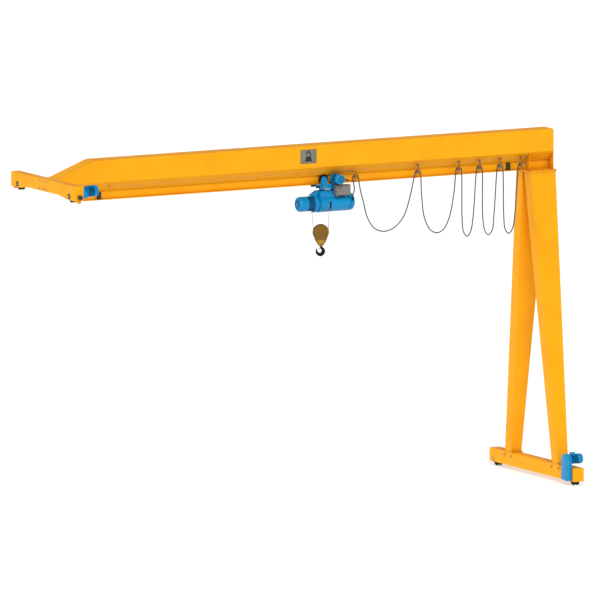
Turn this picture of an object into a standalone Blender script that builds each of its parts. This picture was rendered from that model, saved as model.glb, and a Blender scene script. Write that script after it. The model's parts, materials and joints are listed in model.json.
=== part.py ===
"""Single-girder semi-gantry crane, 5 t class, 12 m span.

One end of the girder stands on an A-frame leg that rolls on a floor rail, the
other on a carriage that rolls on a raised runway rail. A wire-rope hoist hangs
from a motor trolley on the girder's lower flange, fed by a festoon cable.

Metres, +Z up. Shapes are drawn in the crane's own layout, X = 0 at the runway
rail and X = SPAN at the floor rail, Y = 0 under the girder's middle, Z = 0 at
the floor rail's head. The empty `crane_origin` then centres it on the origin.
"""
import math

import bmesh
import bpy
from mathutils import Matrix, Vector

# ---------------------------------------------------------------- dimensions
GAP = 0.0003                 # between pieces that touch
RUN = 0.0005                 # radial running clearance of shafts

SPAN = 12.0                  # rail centre to rail centre
MACHINE_LEFT = -0.112        # runway axle ends
MACHINE_RIGHT = 12.315       # girder seat's edge

# Girder: folded box with slanted lower plates over a rolled track beam
GIRDER_TOP = 7.58
GIRDER_HALF = 0.21
GIRDER_SIDE_LOW = 7.10
GIRDER_KEEL_HALF = 0.06
GIRDER_KEEL = 6.925
GIRDER_LEFT = 0.116
GIRDER_RIGHT = 12.28
GIRDER_PLATE = 0.010
NOSE_FOOT = (0.116, 7.225)   # X, Z where the sloped nose starts
NOSE_HEAD = 1.05             # X where the slope meets the top
DIAPHRAGMS = (1.15, 3.0, 5.0, 7.0, 9.0, 10.8)
MANHOLE = 0.12

TRACK_LEFT = 0.86
TRACK_LOW = 6.70
TRACK_HALF = 0.065
TRACK_FLANGE = 0.015
TRACK_WEB = 0.010

SEAT_LEFT = 11.64
SEAT_HALF = 0.33
SEAT_TOP = TRACK_LOW - GAP
SEAT_PLATE = 0.015
STIFFENER_X = 11.70

# Legs: tapered box columns
LEG_TOP = SEAT_TOP - 2 * SEAT_PLATE - 2 * GAP
LEG_FOOT = 0.3803
LEG_WALL = 0.010
LEG_HEAD_X = (11.66, 12.29)
LEG_HEAD_Y = (0.03, 0.31)
LEG_FOOT_X = (11.875, 12.125)
LEG_FOOT_Y = (0.91, 1.19)
FOOT_PLATE = 0.016

# Floor beam and runway carriage
GROUND_HALF_X = 0.125
GROUND_HALF_Y = 1.88
GROUND_LOW = 0.09
GROUND_TOP = 0.38
GROUND_WHEEL_Y = 1.71
GROUND_WHEEL_R = 0.14
RUNWAY_HALF_X = 0.10
RUNWAY_HALF_Y = 1.47
RUNWAY_TOP = 7.24
RUNWAY_MID_LOW = 6.975
RUNWAY_END_LOW = 6.92
RUNWAY_WHEEL_Y = 1.19
RUNWAY_WHEEL_R = 0.135
RAIL_HEAD = 6.86
BEAM_WALL = 0.010
AXLE_R = 0.03
AXLE_PLAY = 0.001             # round the travel axles where they turn in the webs

# Trolley
WHEEL_X = (6.70, 6.98)
WHEEL_TREAD_R = 0.095
WHEEL_FLANGE_R = 0.108
WHEEL_Z = TRACK_LOW + TRACK_FLANGE + GAP + WHEEL_TREAD_R
PLATE_IN = 0.095
PLATE_OUT = 0.107
STUB_R = 0.022
HANGER_Z = 6.645
HANGER_R = 0.018
TROLLEY_MOTOR_X = 6.93
TROLLEY_MOTOR_Z = 6.83

# Hoist, turning about X at Y = 0
HOIST_Z = 6.29
CASING_X = (6.585, 7.28)
CASING_R = 0.20
CASING_WALL = 0.008
SADDLE_TOP = 6.56
SADDLE_HALF = 0.15
DRUM_R = 0.1475
HOIST_MOTOR_R = 0.163
GLAND_X = 7.35                # where the trailing cable enters the hoist

# Rope falls and hook block
ROPE_R = 0.0075
ANCHOR = Vector((6.424, -0.060, 6.105))
DRUM_EXIT = Vector((6.805, -0.1555, HOIST_Z))
BLOCK = Vector((6.6135, -0.1075, 5.672))
SHEAVE_PITCH_R = 0.163
BLOCK_TURN = math.atan2(DRUM_EXIT.y - ANCHOR.y, DRUM_EXIT.x - ANCHOR.x)

# Festoon
FESTOON_Y = -0.21
WIRE_Z = 7.0
WIRE_R = 0.003
CABLE_R = 0.013
CARRIER_X = (8.94, 9.95, 10.46, 10.97)
TOW_CLAMP_X = 7.41
FIXED_CLAMP_X = 11.49
SADDLE_LINE = 6.82           # centre of the cable saddles' arc
SADDLE_R = 0.043
SADDLE_WRAP = 0.066          # radius of the cable's centre line over a saddle
def over_saddle(x):
    """Five points of the cable's centre line over the saddle at x."""
    return [(x - SADDLE_WRAP * math.cos(a), FESTOON_Y, SADDLE_LINE + SADDLE_WRAP * math.sin(a))
            for a in (math.pi * i / 4 for i in range(5))]


CABLE_ROUTE = [
    (7.350, -0.195, 6.4018), (7.352, -0.195, 6.44), (7.385, -0.200, 6.56),
    (7.360, -0.208, 6.72), *over_saddle(TOW_CLAMP_X),
    (7.515, FESTOON_Y, 6.60), (7.610, FESTOON_Y, 6.25), (7.700, FESTOON_Y, 5.935),
    (7.872, FESTOON_Y, 5.69), (8.108, FESTOON_Y, 5.607), (8.345, FESTOON_Y, 5.665),
    (8.577, FESTOON_Y, 5.88), (8.712, FESTOON_Y, 6.19), *over_saddle(CARRIER_X[0]),
    (9.035, FESTOON_Y, 6.35), (9.104, FESTOON_Y, 5.845), (9.245, FESTOON_Y, 5.575),
    (9.411, FESTOON_Y, 5.492), (9.578, FESTOON_Y, 5.56), (9.720, FESTOON_Y, 5.815),
    (9.830, FESTOON_Y, 6.32), *over_saddle(CARRIER_X[1]),
    (10.034, FESTOON_Y, 5.78), (10.073, FESTOON_Y, 5.462), (10.155, FESTOON_Y, 5.371),
    (10.242, FESTOON_Y, 5.462), (10.305, FESTOON_Y, 5.78), *over_saddle(CARRIER_X[2]),
    (10.544, FESTOON_Y, 5.78), (10.597, FESTOON_Y, 5.46), (10.687, FESTOON_Y, 5.366),
    (10.777, FESTOON_Y, 5.46), (10.820, FESTOON_Y, 5.78), *over_saddle(CARRIER_X[3]),
    (11.062, FESTOON_Y, 5.78), (11.100, FESTOON_Y, 5.46), (11.188, FESTOON_Y, 5.366),
    (11.278, FESTOON_Y, 5.46), (11.337, FESTOON_Y, 5.78), *over_saddle(FIXED_CLAMP_X)[:3],
    (11.555, -0.188, 6.882), (11.61, -0.171, 6.870), (11.6490, -0.17, 6.87),
]

# ------------------------------------------------------------------ materials
PAINTS = {
    # name: (colour, roughness, metallic)
    "crane_yellow": ((1.0, 0.45, 0.012), 0.42, 0.0),
    "hoist_blue": ((0.005, 0.27, 0.66), 0.38, 0.0),
    "steel": ((0.42, 0.42, 0.42), 0.35, 1.0),
    "black_iron": ((0.018, 0.018, 0.018), 0.50, 0.6),
    "rubber": ((0.012, 0.012, 0.012), 0.80, 0.0),
    "block_ochre": ((0.32, 0.17, 0.03), 0.45, 0.3),
    "plate_grey": ((0.30, 0.31, 0.32), 0.50, 0.0),
    "box_grey": ((0.33, 0.30, 0.30), 0.50, 0.0),
    "cable": ((0.05, 0.05, 0.05), 0.65, 0.0),
    "rope_steel": ((0.50, 0.50, 0.50), 0.45, 0.8),
}


def make_materials():
    made = {}
    for name, (colour, roughness, metallic) in PAINTS.items():
        material = bpy.data.materials.new(name)
        material.use_nodes = True
        shader = material.node_tree.nodes["Principled BSDF"]
        shader.inputs["Base Color"].default_value = (*colour, 1.0)
        shader.inputs["Roughness"].default_value = roughness
        shader.inputs["Metallic"].default_value = metallic
        made[name] = material
    return made


# -------------------------------------------------------------- shape helpers
AXES = {"X": (Vector((0, 1, 0)), Vector((0, 0, 1)), Vector((1, 0, 0))),
        "Y": (Vector((1, 0, 0)), Vector((0, 0, 1)), Vector((0, 1, 0))),
        "Z": (Vector((1, 0, 0)), Vector((0, 1, 0)), Vector((0, 0, 1)))}


def as_object(mesh_builder, name="shape"):
    """Turn a finished bmesh into a linked object with its faces pointing out."""
    bmesh.ops.recalc_face_normals(mesh_builder, faces=mesh_builder.faces)
    mesh = bpy.data.meshes.new(name)
    mesh_builder.to_mesh(mesh)
    mesh_builder.free()
    shape = bpy.data.objects.new(name, mesh)
    bpy.context.scene.collection.objects.link(shape)
    return shape


def prism(outline, axis, low, high):
    """Extrude a closed outline, given in the plane across `axis`, from low to high."""
    across, up, along = AXES[axis]
    builder = bmesh.new()
    corners = [builder.verts.new(across * a + up * b + along * low) for a, b in outline]
    cap = builder.faces.new(corners)
    grown = bmesh.ops.extrude_face_region(builder, geom=[cap])
    moved = [item for item in grown["geom"] if isinstance(item, bmesh.types.BMVert)]
    bmesh.ops.translate(builder, verts=moved, vec=along * (high - low))
    return as_object(builder)


def box(low, high):
    outline = [(low[0], low[1]), (high[0], low[1]), (high[0], high[1]), (low[0], high[1])]
    return prism(outline, "Z", low[2], high[2])


def turned(profile, axis, centre, segments=32):
    """Spin a closed or axis-to-axis profile of (radius, distance) points about `axis`."""
    across, _, along = AXES[axis]
    centre = Vector(centre)
    builder = bmesh.new()
    # the first profile line points straight down, so a wheel touches its rail at a corner
    radial = Vector((0, 0, -1)) if axis != "Z" else across
    rings = []
    for radius, distance in profile:
        spot = centre + along * distance
        if radius == 0:
            rings.append([builder.verts.new(spot)] * segments)
            continue
        turns = [Matrix.Rotation(2 * math.pi * i / segments, 3, along) for i in range(segments)]
        rings.append([builder.verts.new(spot + radius * (turn @ radial)) for turn in turns])
    pairs = list(zip(rings, rings[1:]))
    if profile[0][0] > 0 and profile[-1][0] > 0:
        pairs.append((rings[-1], rings[0]))
    for low, high in pairs:
        for i in range(segments):
            corners = [low[i - 1], low[i], high[i], high[i - 1]]
            builder.faces.new(list(dict.fromkeys(corners)))
    return as_object(builder)


def rod(radius, axis, centre, low, high, segments=24):
    """A plain round bar about `axis` through `centre`, from low to high along it."""
    base = Vector(centre)
    base["XYZ".index(axis)] = 0.0
    return turned([(0, low), (radius, low), (radius, high), (0, high)], axis, base, segments)


def boolean(target, tools, operation):
    """Join tools to the target or cut them from it, and keep one plain mesh."""
    for tool in tools:
        step = target.modifiers.new(operation, "BOOLEAN")
        step.operation = operation
        step.solver = "EXACT"
        step.object = tool
    bpy.context.view_layer.update()
    depsgraph = bpy.context.evaluated_depsgraph_get()
    result = bpy.data.meshes.new_from_object(target.evaluated_get(depsgraph))
    target.modifiers.clear()
    target.data = result
    for tool in tools:
        bpy.data.objects.remove(tool)
    return target


def joined(target, *tools):
    return boolean(target, tools, "UNION")


def cut(target, *tools):
    return boolean(target, tools, "DIFFERENCE")


def common(target, *tools):
    return boolean(target, tools, "INTERSECT")


def place(shape, name, material, origin=(0, 0, 0), smooth_angle=30):
    """Name the shape, put its origin at a point of the layout and shade it."""
    origin = Vector(origin)
    shape.name = name
    shape.data.name = name
    shape.data.transform(Matrix.Translation(-origin))
    shape.location = origin
    shape.parent = CRANE
    shape.data.materials.clear()
    shape.data.materials.append(MATERIALS[material])
    shape.data.shade_smooth()
    shape.data.set_sharp_from_angle(angle=math.radians(smooth_angle))
    return shape


def arc(centre, radius, start, stop, steps):
    """Points on an arc in degrees, as (a, b) pairs of the outline's plane."""
    angles = [math.radians(start + (stop - start) * i / steps) for i in range(steps + 1)]
    return [(centre[0] + radius * math.cos(a), centre[1] + radius * math.sin(a)) for a in angles]


def loft(low_ring, high_ring):
    """A closed solid between two rings with the same number of corners."""
    builder = bmesh.new()
    low = [builder.verts.new(point) for point in low_ring]
    high = [builder.verts.new(point) for point in high_ring]
    edges = []
    for ring in (low, high):
        edges += [builder.edges.new((a, b)) for a, b in zip(ring, ring[1:] + ring[:1])]
    bmesh.ops.bridge_loops(builder, edges=edges)
    builder.faces.new(low)
    builder.faces.new(high)
    return as_object(builder)


def smooth_path(points, steps):
    """Centripetal Catmull-Rom curve through the points, `steps` pieces between each two."""
    points = [Vector(p) for p in points]
    padded = [2 * points[0] - points[1], *points, 2 * points[-1] - points[-2]]
    path = []
    for a, b, c, d in zip(padded, padded[1:], padded[2:], padded[3:]):
        before, here, after = ((q - p).length ** 0.5 for p, q in ((a, b), (b, c), (c, d)))
        leave = (c - b) + here * ((b - a) / before - (c - a) / (before + here))
        arrive = (c - b) + here * ((d - c) / after - (d - b) / (here + after))
        for step in range(steps):
            t = step / steps
            path.append((2 * t ** 3 - 3 * t ** 2 + 1) * b + (t ** 3 - 2 * t ** 2 + t) * leave
                        + (3 * t ** 2 - 2 * t ** 3) * c + (t ** 3 - t ** 2) * arrive)
    path.append(points[-1])
    return path


def tube(path, radius, name, material, resolution=2):
    """A round cord along a path, with closed ends."""
    curve = bpy.data.curves.new(name, "CURVE")
    curve.dimensions = "3D"
    curve.bevel_depth = radius
    curve.bevel_resolution = resolution
    curve.use_fill_caps = True
    spline = curve.splines.new("POLY")
    spline.points.add(len(path) - 1)
    for point, spot in zip(spline.points, path):
        point.co = (*spot, 1.0)
    curve.materials.append(MATERIALS[material])
    cord = bpy.data.objects.new(name, curve)
    bpy.context.scene.collection.objects.link(cord)
    cord.parent = CRANE
    return cord


# ----------------------------------------------------------- girder and seat
def girder_section(inset):
    """The folded box's outline across its length, moved in by the plate."""
    side, keel = GIRDER_HALF - inset, GIRDER_KEEL_HALF - inset * 0.6
    top, fold, low = GIRDER_TOP - inset, GIRDER_SIDE_LOW + inset * 0.5, GIRDER_KEEL + inset
    return [(-side, top), (-side, fold), (-keel, low), (keel, low), (side, fold), (side, top)]


def girder_profile(inset, left, right):
    """The side view: a level top that slopes down to the runway carriage."""
    slope = (GIRDER_TOP - NOSE_FOOT[1]) / (NOSE_HEAD - NOSE_FOOT[0])
    head = NOSE_HEAD + inset * 0.3
    return [(left, GIRDER_KEEL - 0.1), (right, GIRDER_KEEL - 0.1), (right, GIRDER_TOP - inset),
            (head, GIRDER_TOP - inset), (left, GIRDER_TOP - inset - slope * (head - left))]


def make_girder():
    left, right = GIRDER_LEFT, GIRDER_RIGHT
    shell = prism(girder_section(0), "X", left, right)
    shell = common(shell, prism(girder_profile(0, left, right), "Y", -0.5, 0.5))
    hollow = prism(girder_section(GIRDER_PLATE), "X", left - 0.01, right + 0.01)
    side = girder_profile(GIRDER_PLATE, left - 0.02, right + 0.02)
    hollow = common(hollow, prism(side, "Y", -0.5, 0.5))
    plates = []
    for x in DIAPHRAGMS:
        plate = box((x, -0.3, 6.8), (x + GIRDER_PLATE, 0.3, 7.7))
        plates.append(cut(plate, rod(MANHOLE, "X", (0, 0, 7.33), x - 0.1, x + 0.1, 20)))
    hollow = cut(hollow, *plates)
    place(cut(shell, hollow), "girder_box", "crane_yellow")

    end = box((right + GAP, -GIRDER_HALF, TRACK_LOW), (right + 0.015, GIRDER_HALF, GIRDER_TOP))
    place(end, "girder_end_plate", "crane_yellow")
    nose = box((RUNWAY_HALF_X + GAP, -GIRDER_HALF, RUNWAY_MID_LOW), (left - GAP, GIRDER_HALF, 7.222))
    place(nose, "girder_nose_plate", "crane_yellow")


def make_track():
    half, web, low = TRACK_HALF, TRACK_WEB / 2, TRACK_LOW
    top = GIRDER_KEEL - GAP
    section = [(-half, low), (half, low), (half, low + TRACK_FLANGE), (web, low + TRACK_FLANGE),
               (web, top - 0.013), (0.06, top - 0.013), (0.06, top), (-0.06, top),
               (-0.06, top - 0.013), (-web, top - 0.013), (-web, low + TRACK_FLANGE),
               (-half, low + TRACK_FLANGE)]
    place(prism(section, "X", TRACK_LEFT, GIRDER_RIGHT), "track_beam", "crane_yellow")
    for name, x in (("trolley_stop_left", 1.24), ("trolley_stop_right", 11.27)):
        low_z = TRACK_LOW + TRACK_FLANGE + GAP
        foot = box((x - 0.045, -0.064, low_z), (x + 0.045, -web - GAP, low_z + 0.02))
        block = box((x - 0.042, -0.062, low_z + 0.01), (x + 0.042, -web - GAP, low_z + 0.155))
        place(joined(foot, block), name, "rubber")


def make_seat():
    low, top = SEAT_TOP - SEAT_PLATE, SEAT_TOP
    flange = box((SEAT_LEFT, -SEAT_HALF, low), (MACHINE_RIGHT, SEAT_HALF, top))
    ribs = []
    for side in (-1, 1):
        wall = TRACK_HALF + 0.002
        outline = [(side * wall, top - 0.005), (side * GIRDER_HALF, top - 0.005),
                   (side * GIRDER_HALF, GIRDER_SIDE_LOW - 0.002),
                   (side * (wall + 0.002), GIRDER_KEEL + 0.002)]
        ribs.append(prism(outline, "X", STIFFENER_X, STIFFENER_X + 0.012))
    gland = rod(0.018, "X", (0, -0.17, 6.87), STIFFENER_X - 0.05, STIFFENER_X + 0.006, 16)
    place(joined(flange, *ribs, gland), "girder_seat", "crane_yellow")
    mate = box((SEAT_LEFT, -SEAT_HALF, LEG_TOP + GAP), (MACHINE_RIGHT, SEAT_HALF, low - GAP))
    place(mate, "leg_top_flange", "crane_yellow")


def leg_ring(x_range, y_range, z, side, inset):
    (x0, x1), (y0, y1) = x_range, y_range
    return [(x0 + inset, side * (y0 + inset), z), (x1 - inset, side * (y0 + inset), z),
            (x1 - inset, side * (y1 - inset), z), (x0 + inset, side * (y1 - inset), z)]


def make_leg(name, side):
    outer = loft(leg_ring(LEG_FOOT_X, LEG_FOOT_Y, LEG_FOOT + 0.008, side, 0),
                 leg_ring(LEG_HEAD_X, LEG_HEAD_Y, LEG_TOP, side, 0))
    inner = loft(leg_ring(LEG_FOOT_X, LEG_FOOT_Y, LEG_FOOT + 0.03, side, LEG_WALL),
                 leg_ring(LEG_HEAD_X, LEG_HEAD_Y, LEG_TOP + 0.01, side, LEG_WALL))
    foot_y = sorted((side * 0.865, side * 1.235))
    foot = box((11.862, foot_y[0], LEG_FOOT), (12.138, foot_y[1], LEG_FOOT + FOOT_PLATE))
    place(joined(cut(outer, inner), foot), name, "crane_yellow")


# --------------------------------------------------------- beams with wheels
def make_ground_beam():
    x, y, low, top, wall = GROUND_HALF_X, GROUND_HALF_Y, GROUND_LOW, GROUND_TOP, BEAM_WALL
    beam = box((SPAN - x, -y, low), (SPAN + x, y, top))
    hollow = box((SPAN - x + wall, -y + wall, low + wall), (SPAN + x - wall, y - wall, top - wall))
    slots = [box((SPAN - 0.07, s * GROUND_WHEEL_Y - 0.155, low - 0.1),
                 (SPAN + 0.07, s * GROUND_WHEEL_Y + 0.155, low + 0.05)) for s in (-1, 1)]
    bores = [rod(AXLE_R + AXLE_PLAY, "X", (0, s * GROUND_WHEEL_Y, GROUND_WHEEL_R),
                 SPAN - 0.3, SPAN + 0.3, 16)
             for s in (-1, 1)]
    place(cut(beam, hollow, *slots, *bores), "ground_beam", "crane_yellow")


def carriage_outline(inset):
    half, top = RUNWAY_HALF_Y - inset, RUNWAY_TOP - inset
    mid, end = RUNWAY_MID_LOW + inset, RUNWAY_END_LOW + inset
    return [(-half, top), (-half, end), (-1.12, end), (-0.70, mid), (0.70, mid), (1.12, end),
            (half, end), (half, top)]


def make_runway_carriage():
    x, wall = RUNWAY_HALF_X, BEAM_WALL
    beam = prism(carriage_outline(0), "X", -x, x)
    hollow = prism(carriage_outline(wall), "X", -x + wall, x - wall)
    axle_z = RAIL_HEAD + RUNWAY_WHEEL_R
    slots = [box((-0.06, s * RUNWAY_WHEEL_Y - 0.15, 6.80), (0.06, s * RUNWAY_WHEEL_Y + 0.15, 6.95))
             for s in (-1, 1)]
    bores = [rod(AXLE_R + AXLE_PLAY, "X", (0, s * RUNWAY_WHEEL_Y, axle_z), -0.3, 0.3, 16) for s in (-1, 1)]
    place(cut(beam, hollow, *slots, *bores), "runway_carriage", "crane_yellow")
    for end, side in (("near", -1), ("far", 1)):
        face = side * (RUNWAY_HALF_Y + GAP)
        buffer = turned([(0, face), (0.035, face), (0.035, face + side * 0.02),
                         (0.05, face + side * 0.03), (0.05, face + side * 0.075),
                         (0.03, face + side * 0.09), (0, face + side * 0.09)],
                        "Y", (0, 0, 7.0), 16)
        place(buffer, f"runway_buffer_{end}", "rubber", (0, face, 7.0))
        back = RUNWAY_HALF_Y - 0.03
        sweeper = box((-0.05, min(side * back, side * (back + 0.012)), RAIL_HEAD + 0.006),
                      (0.05, max(side * back, side * (back + 0.012)), RUNWAY_END_LOW - GAP))
        place(sweeper, f"rail_sweeper_{end}", "crane_yellow")


def make_crane_wheel(name, x, y, radius, half_width):
    """Double-flanged travel wheel; its axle turns with it in the beam's webs."""
    tread, hub, bore = radius - 0.015, 0.055, AXLE_R + GAP
    w = half_width
    profile = [(bore, -w), (hub, -w), (hub, -0.018), (tread - 0.025, -0.018), (tread - 0.025, -w + 0.008),
               (radius, -w + 0.008), (radius, -w + 0.020), (tread, -w + 0.026), (tread, w - 0.026),
               (radius, w - 0.020), (radius, w - 0.008), (tread - 0.025, w - 0.008),
               (tread - 0.025, 0.018), (hub, 0.018), (hub, w), (bore, w)]
    place(turned(profile, "X", (x, y, radius + (RAIL_HEAD if x == 0 else 0)), 24),
          name, "black_iron", (x, y, radius + (RAIL_HEAD if x == 0 else 0)))


def make_axle(name, y, z, left, right):
    place(rod(AXLE_R, "X", (0, y, z), left, right, 16), name, "steel", ((left + right) / 2, y, z))


def make_travel_wheels():
    for end, side in (("near", -1), ("far", 1)):
        make_crane_wheel(f"ground_wheel_{end}", SPAN, side * GROUND_WHEEL_Y, GROUND_WHEEL_R, 0.055)
        make_crane_wheel(f"runway_wheel_{end}", 0, side * RUNWAY_WHEEL_Y, RUNWAY_WHEEL_R, 0.05)
    outer, shelf = SPAN - GROUND_HALF_X, SPAN + GROUND_HALF_X + 0.012
    make_axle("ground_axle_near", -GROUND_WHEEL_Y, GROUND_WHEEL_R, outer - 0.06, shelf)
    make_axle("ground_axle_far", GROUND_WHEEL_Y, GROUND_WHEEL_R, outer - 0.012, shelf)
    runway_z = RAIL_HEAD + RUNWAY_WHEEL_R
    make_axle("runway_axle_near", -RUNWAY_WHEEL_Y, runway_z, MACHINE_LEFT, RUNWAY_HALF_X + 0.06)
    make_axle("runway_axle_far", RUNWAY_WHEEL_Y, runway_z, MACHINE_LEFT, RUNWAY_HALF_X + 0.012)


def motor_profile(radius, start, stop):
    """A finned travel motor's turned body: flange, barrel and a cowl with a round end."""
    step = 1 if stop > start else -1
    length = abs(stop - start)
    points = [(0, 0), (radius * 0.9, 0), (radius * 0.9, 0.018), (radius * 0.86, 0.022),
              (radius * 0.86, length * 0.66), (radius, length * 0.68), (radius, length - 0.035),
              (radius * 0.93, length - 0.010), (radius * 0.72, length), (0, length)]
    return [(r, start + step * d) for r, d in points]


def make_ground_drive():
    right = SPAN - GROUND_HALF_X - GAP
    left = right - 0.083
    y0, y1, low, top, turn = -1.81, -1.462, 0.105, 0.68, 0.15
    outline = [(y0, low), (y1, low), (y1, top - turn)]
    outline += arc((y1 - turn, top - turn), turn, 0, 90, 6)[1:]
    outline += arc((y0 + turn, top - turn), turn, 90, 180, 6)
    case = prism(outline, "X", left, right)
    bore = rod(AXLE_R + AXLE_PLAY, "X", (0, -GROUND_WHEEL_Y, GROUND_WHEEL_R), left + 0.015, right + 0.1)
    place(cut(case, bore), "ground_drive_reducer", "hoist_blue")
    centre = (0, -1.62, 0.557)
    place(turned(motor_profile(0.110, right + GAP, 12.205), "X", centre, 20),
          "ground_drive_motor", "hoist_blue", (right, -1.62, 0.557))


def make_runway_drive():
    face, right = RUNWAY_HALF_X + GAP, 0.30
    y, low, top = -RUNWAY_WHEEL_Y, 6.93, 7.17
    outline = [(y - 0.11, low), (y + 0.11, low)] + arc((y, top - 0.11), 0.11, 0, 180, 10)
    case = prism(outline, "X", face, right - GAP)
    bore = rod(AXLE_R + AXLE_PLAY, "X", (0, y, RAIL_HEAD + RUNWAY_WHEEL_R), face - 0.1, face + 0.075)
    place(cut(case, bore), "runway_drive_reducer", "hoist_blue")
    place(turned(motor_profile(0.125, right, 0.565), "X", (0, y, 7.085), 20),
          "runway_drive_motor", "hoist_blue", (right, y, 7.085))


# -------------------------------------------------------------------- trolley
def make_trolley_plate(name, side):
    """Side plate with two humps, stub axles for its wheels and a bumper bar."""
    inner, outer = side * PLATE_IN, side * PLATE_OUT
    left, right = WHEEL_X
    outline = [(left - 0.09, 6.60), (right + 0.09, 6.60), (right + 0.10, 6.70)]
    outline += arc((right, WHEEL_Z - 0.01), 0.075, 0, 170, 9)
    outline += [(right - 0.09, 6.705), (left + 0.09, 6.705)]
    outline += arc((left, WHEEL_Z - 0.01), 0.075, 10, 180, 9) + [(left - 0.10, 6.70)]
    plate = prism(outline, "Y", min(inner, outer), max(inner, outer))
    stub_ends = sorted((side * 0.021, side * (PLATE_OUT + 0.012)))
    stubs = [rod(STUB_R, "Y", (x, 0, WHEEL_Z), *stub_ends, 20) for x in WHEEL_X]
    bar_y = sorted((side * 0.1065, side * 0.155))
    bumper = [(0, left - 0.34), (0.024, left - 0.34), (0.024, left - 0.215), (0.017, left - 0.21),
              (0.017, left - 0.05), (0, left - 0.05)]
    bars = [box((left - 0.09, bar_y[0], 6.687), (left - 0.04, bar_y[1], 6.713)),
            turned(bumper, "X", (0, side * 0.143, 6.70), 14)]
    holes = [rod(HANGER_R + GAP, "Y", (x, 0, HANGER_Z), -0.2, 0.2, 20) for x in WHEEL_X]
    place(joined(cut(plate, *holes), *bars, *stubs), name, "hoist_blue")


def make_trolley_wheel(name, x, side):
    bore = STUB_R + RUN
    profile = [(bore, 0.024), (WHEEL_TREAD_R, 0.024), (WHEEL_TREAD_R, 0.066),
               (WHEEL_FLANGE_R, 0.0675), (WHEEL_FLANGE_R, 0.084), (0.086, 0.086), (0.080, 0.080),
               (0.045, 0.080), (0.045, 0.0925), (bore, 0.0925)]
    wheel = turned([(r, side * d) for r, d in profile], "Y", (x, 0, WHEEL_Z), 20)
    place(wheel, name, "black_iron", (x, side * 0.05, WHEEL_Z))


def make_trolley():
    """Plates, wheels, hangers and drive, with the striker bar and the cable's tow arm."""
    for end, side in (("near", -1), ("far", 1)):
        make_trolley_plate(f"trolley_plate_{end}", side)
        for which, x in zip(("left", "right"), WHEEL_X):
            make_trolley_wheel(f"trolley_wheel_{end}_{which}", x, side)
    for which, x in zip(("left", "right"), WHEEL_X):
        nut = PLATE_OUT + GAP
        shaft = turned([(0, -nut - 0.022), (0.028, -nut - 0.022), (0.028, -nut), (HANGER_R, -nut),
                        (HANGER_R, nut), (0.028, nut), (0.028, nut + 0.022), (0, nut + 0.022)],
                       "Y", (x, 0, HANGER_Z), 18)
        place(shaft, f"hanger_shaft_{which}", "steel", (x, 0, HANGER_Z))
    face = -PLATE_OUT - 0.012 - GAP
    x, z = TROLLEY_MOTOR_X, TROLLEY_MOTOR_Z
    case = prism(arc((x, z), 0.10, 0, 350, 19), "Y", face - 0.035, face)
    place(case, "trolley_gearcase", "hoist_blue")
    motor = turned(motor_profile(0.105, face - 0.035 - GAP, -0.45), "Y", (x, 0, z), 20)
    place(motor, "trolley_motor", "hoist_blue", (x, face, z))
    arm = box((7.04, -0.128, 6.765), (7.085, -PLATE_OUT - GAP, 6.80))
    striker_foot = box((7.08, -0.128, 6.785), (7.112, -0.112, 6.825))
    striker = rod(0.013, "Y", (7.098, 0, 6.806), -0.485, -0.115, 12)
    reach = box((7.06, -0.128, 6.785), (7.072, -0.116, 6.945))
    boom = box((7.06, -0.128, 6.933), (7.416, -0.116, 6.945))
    drop = box((7.404, -0.236, 6.933), (7.416, -0.116, 6.945))
    blade = box((7.385, -0.236, 6.795), (7.435, -0.230, 6.945))
    seat = prism(arc((TOW_CLAMP_X, SADDLE_LINE), SADDLE_R, 0, 180, 12), "Y", -0.2305, -0.19)
    place(joined(arm, striker_foot, striker, reach, boom, drop, blade, seat), "tow_arm", "steel")


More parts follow.
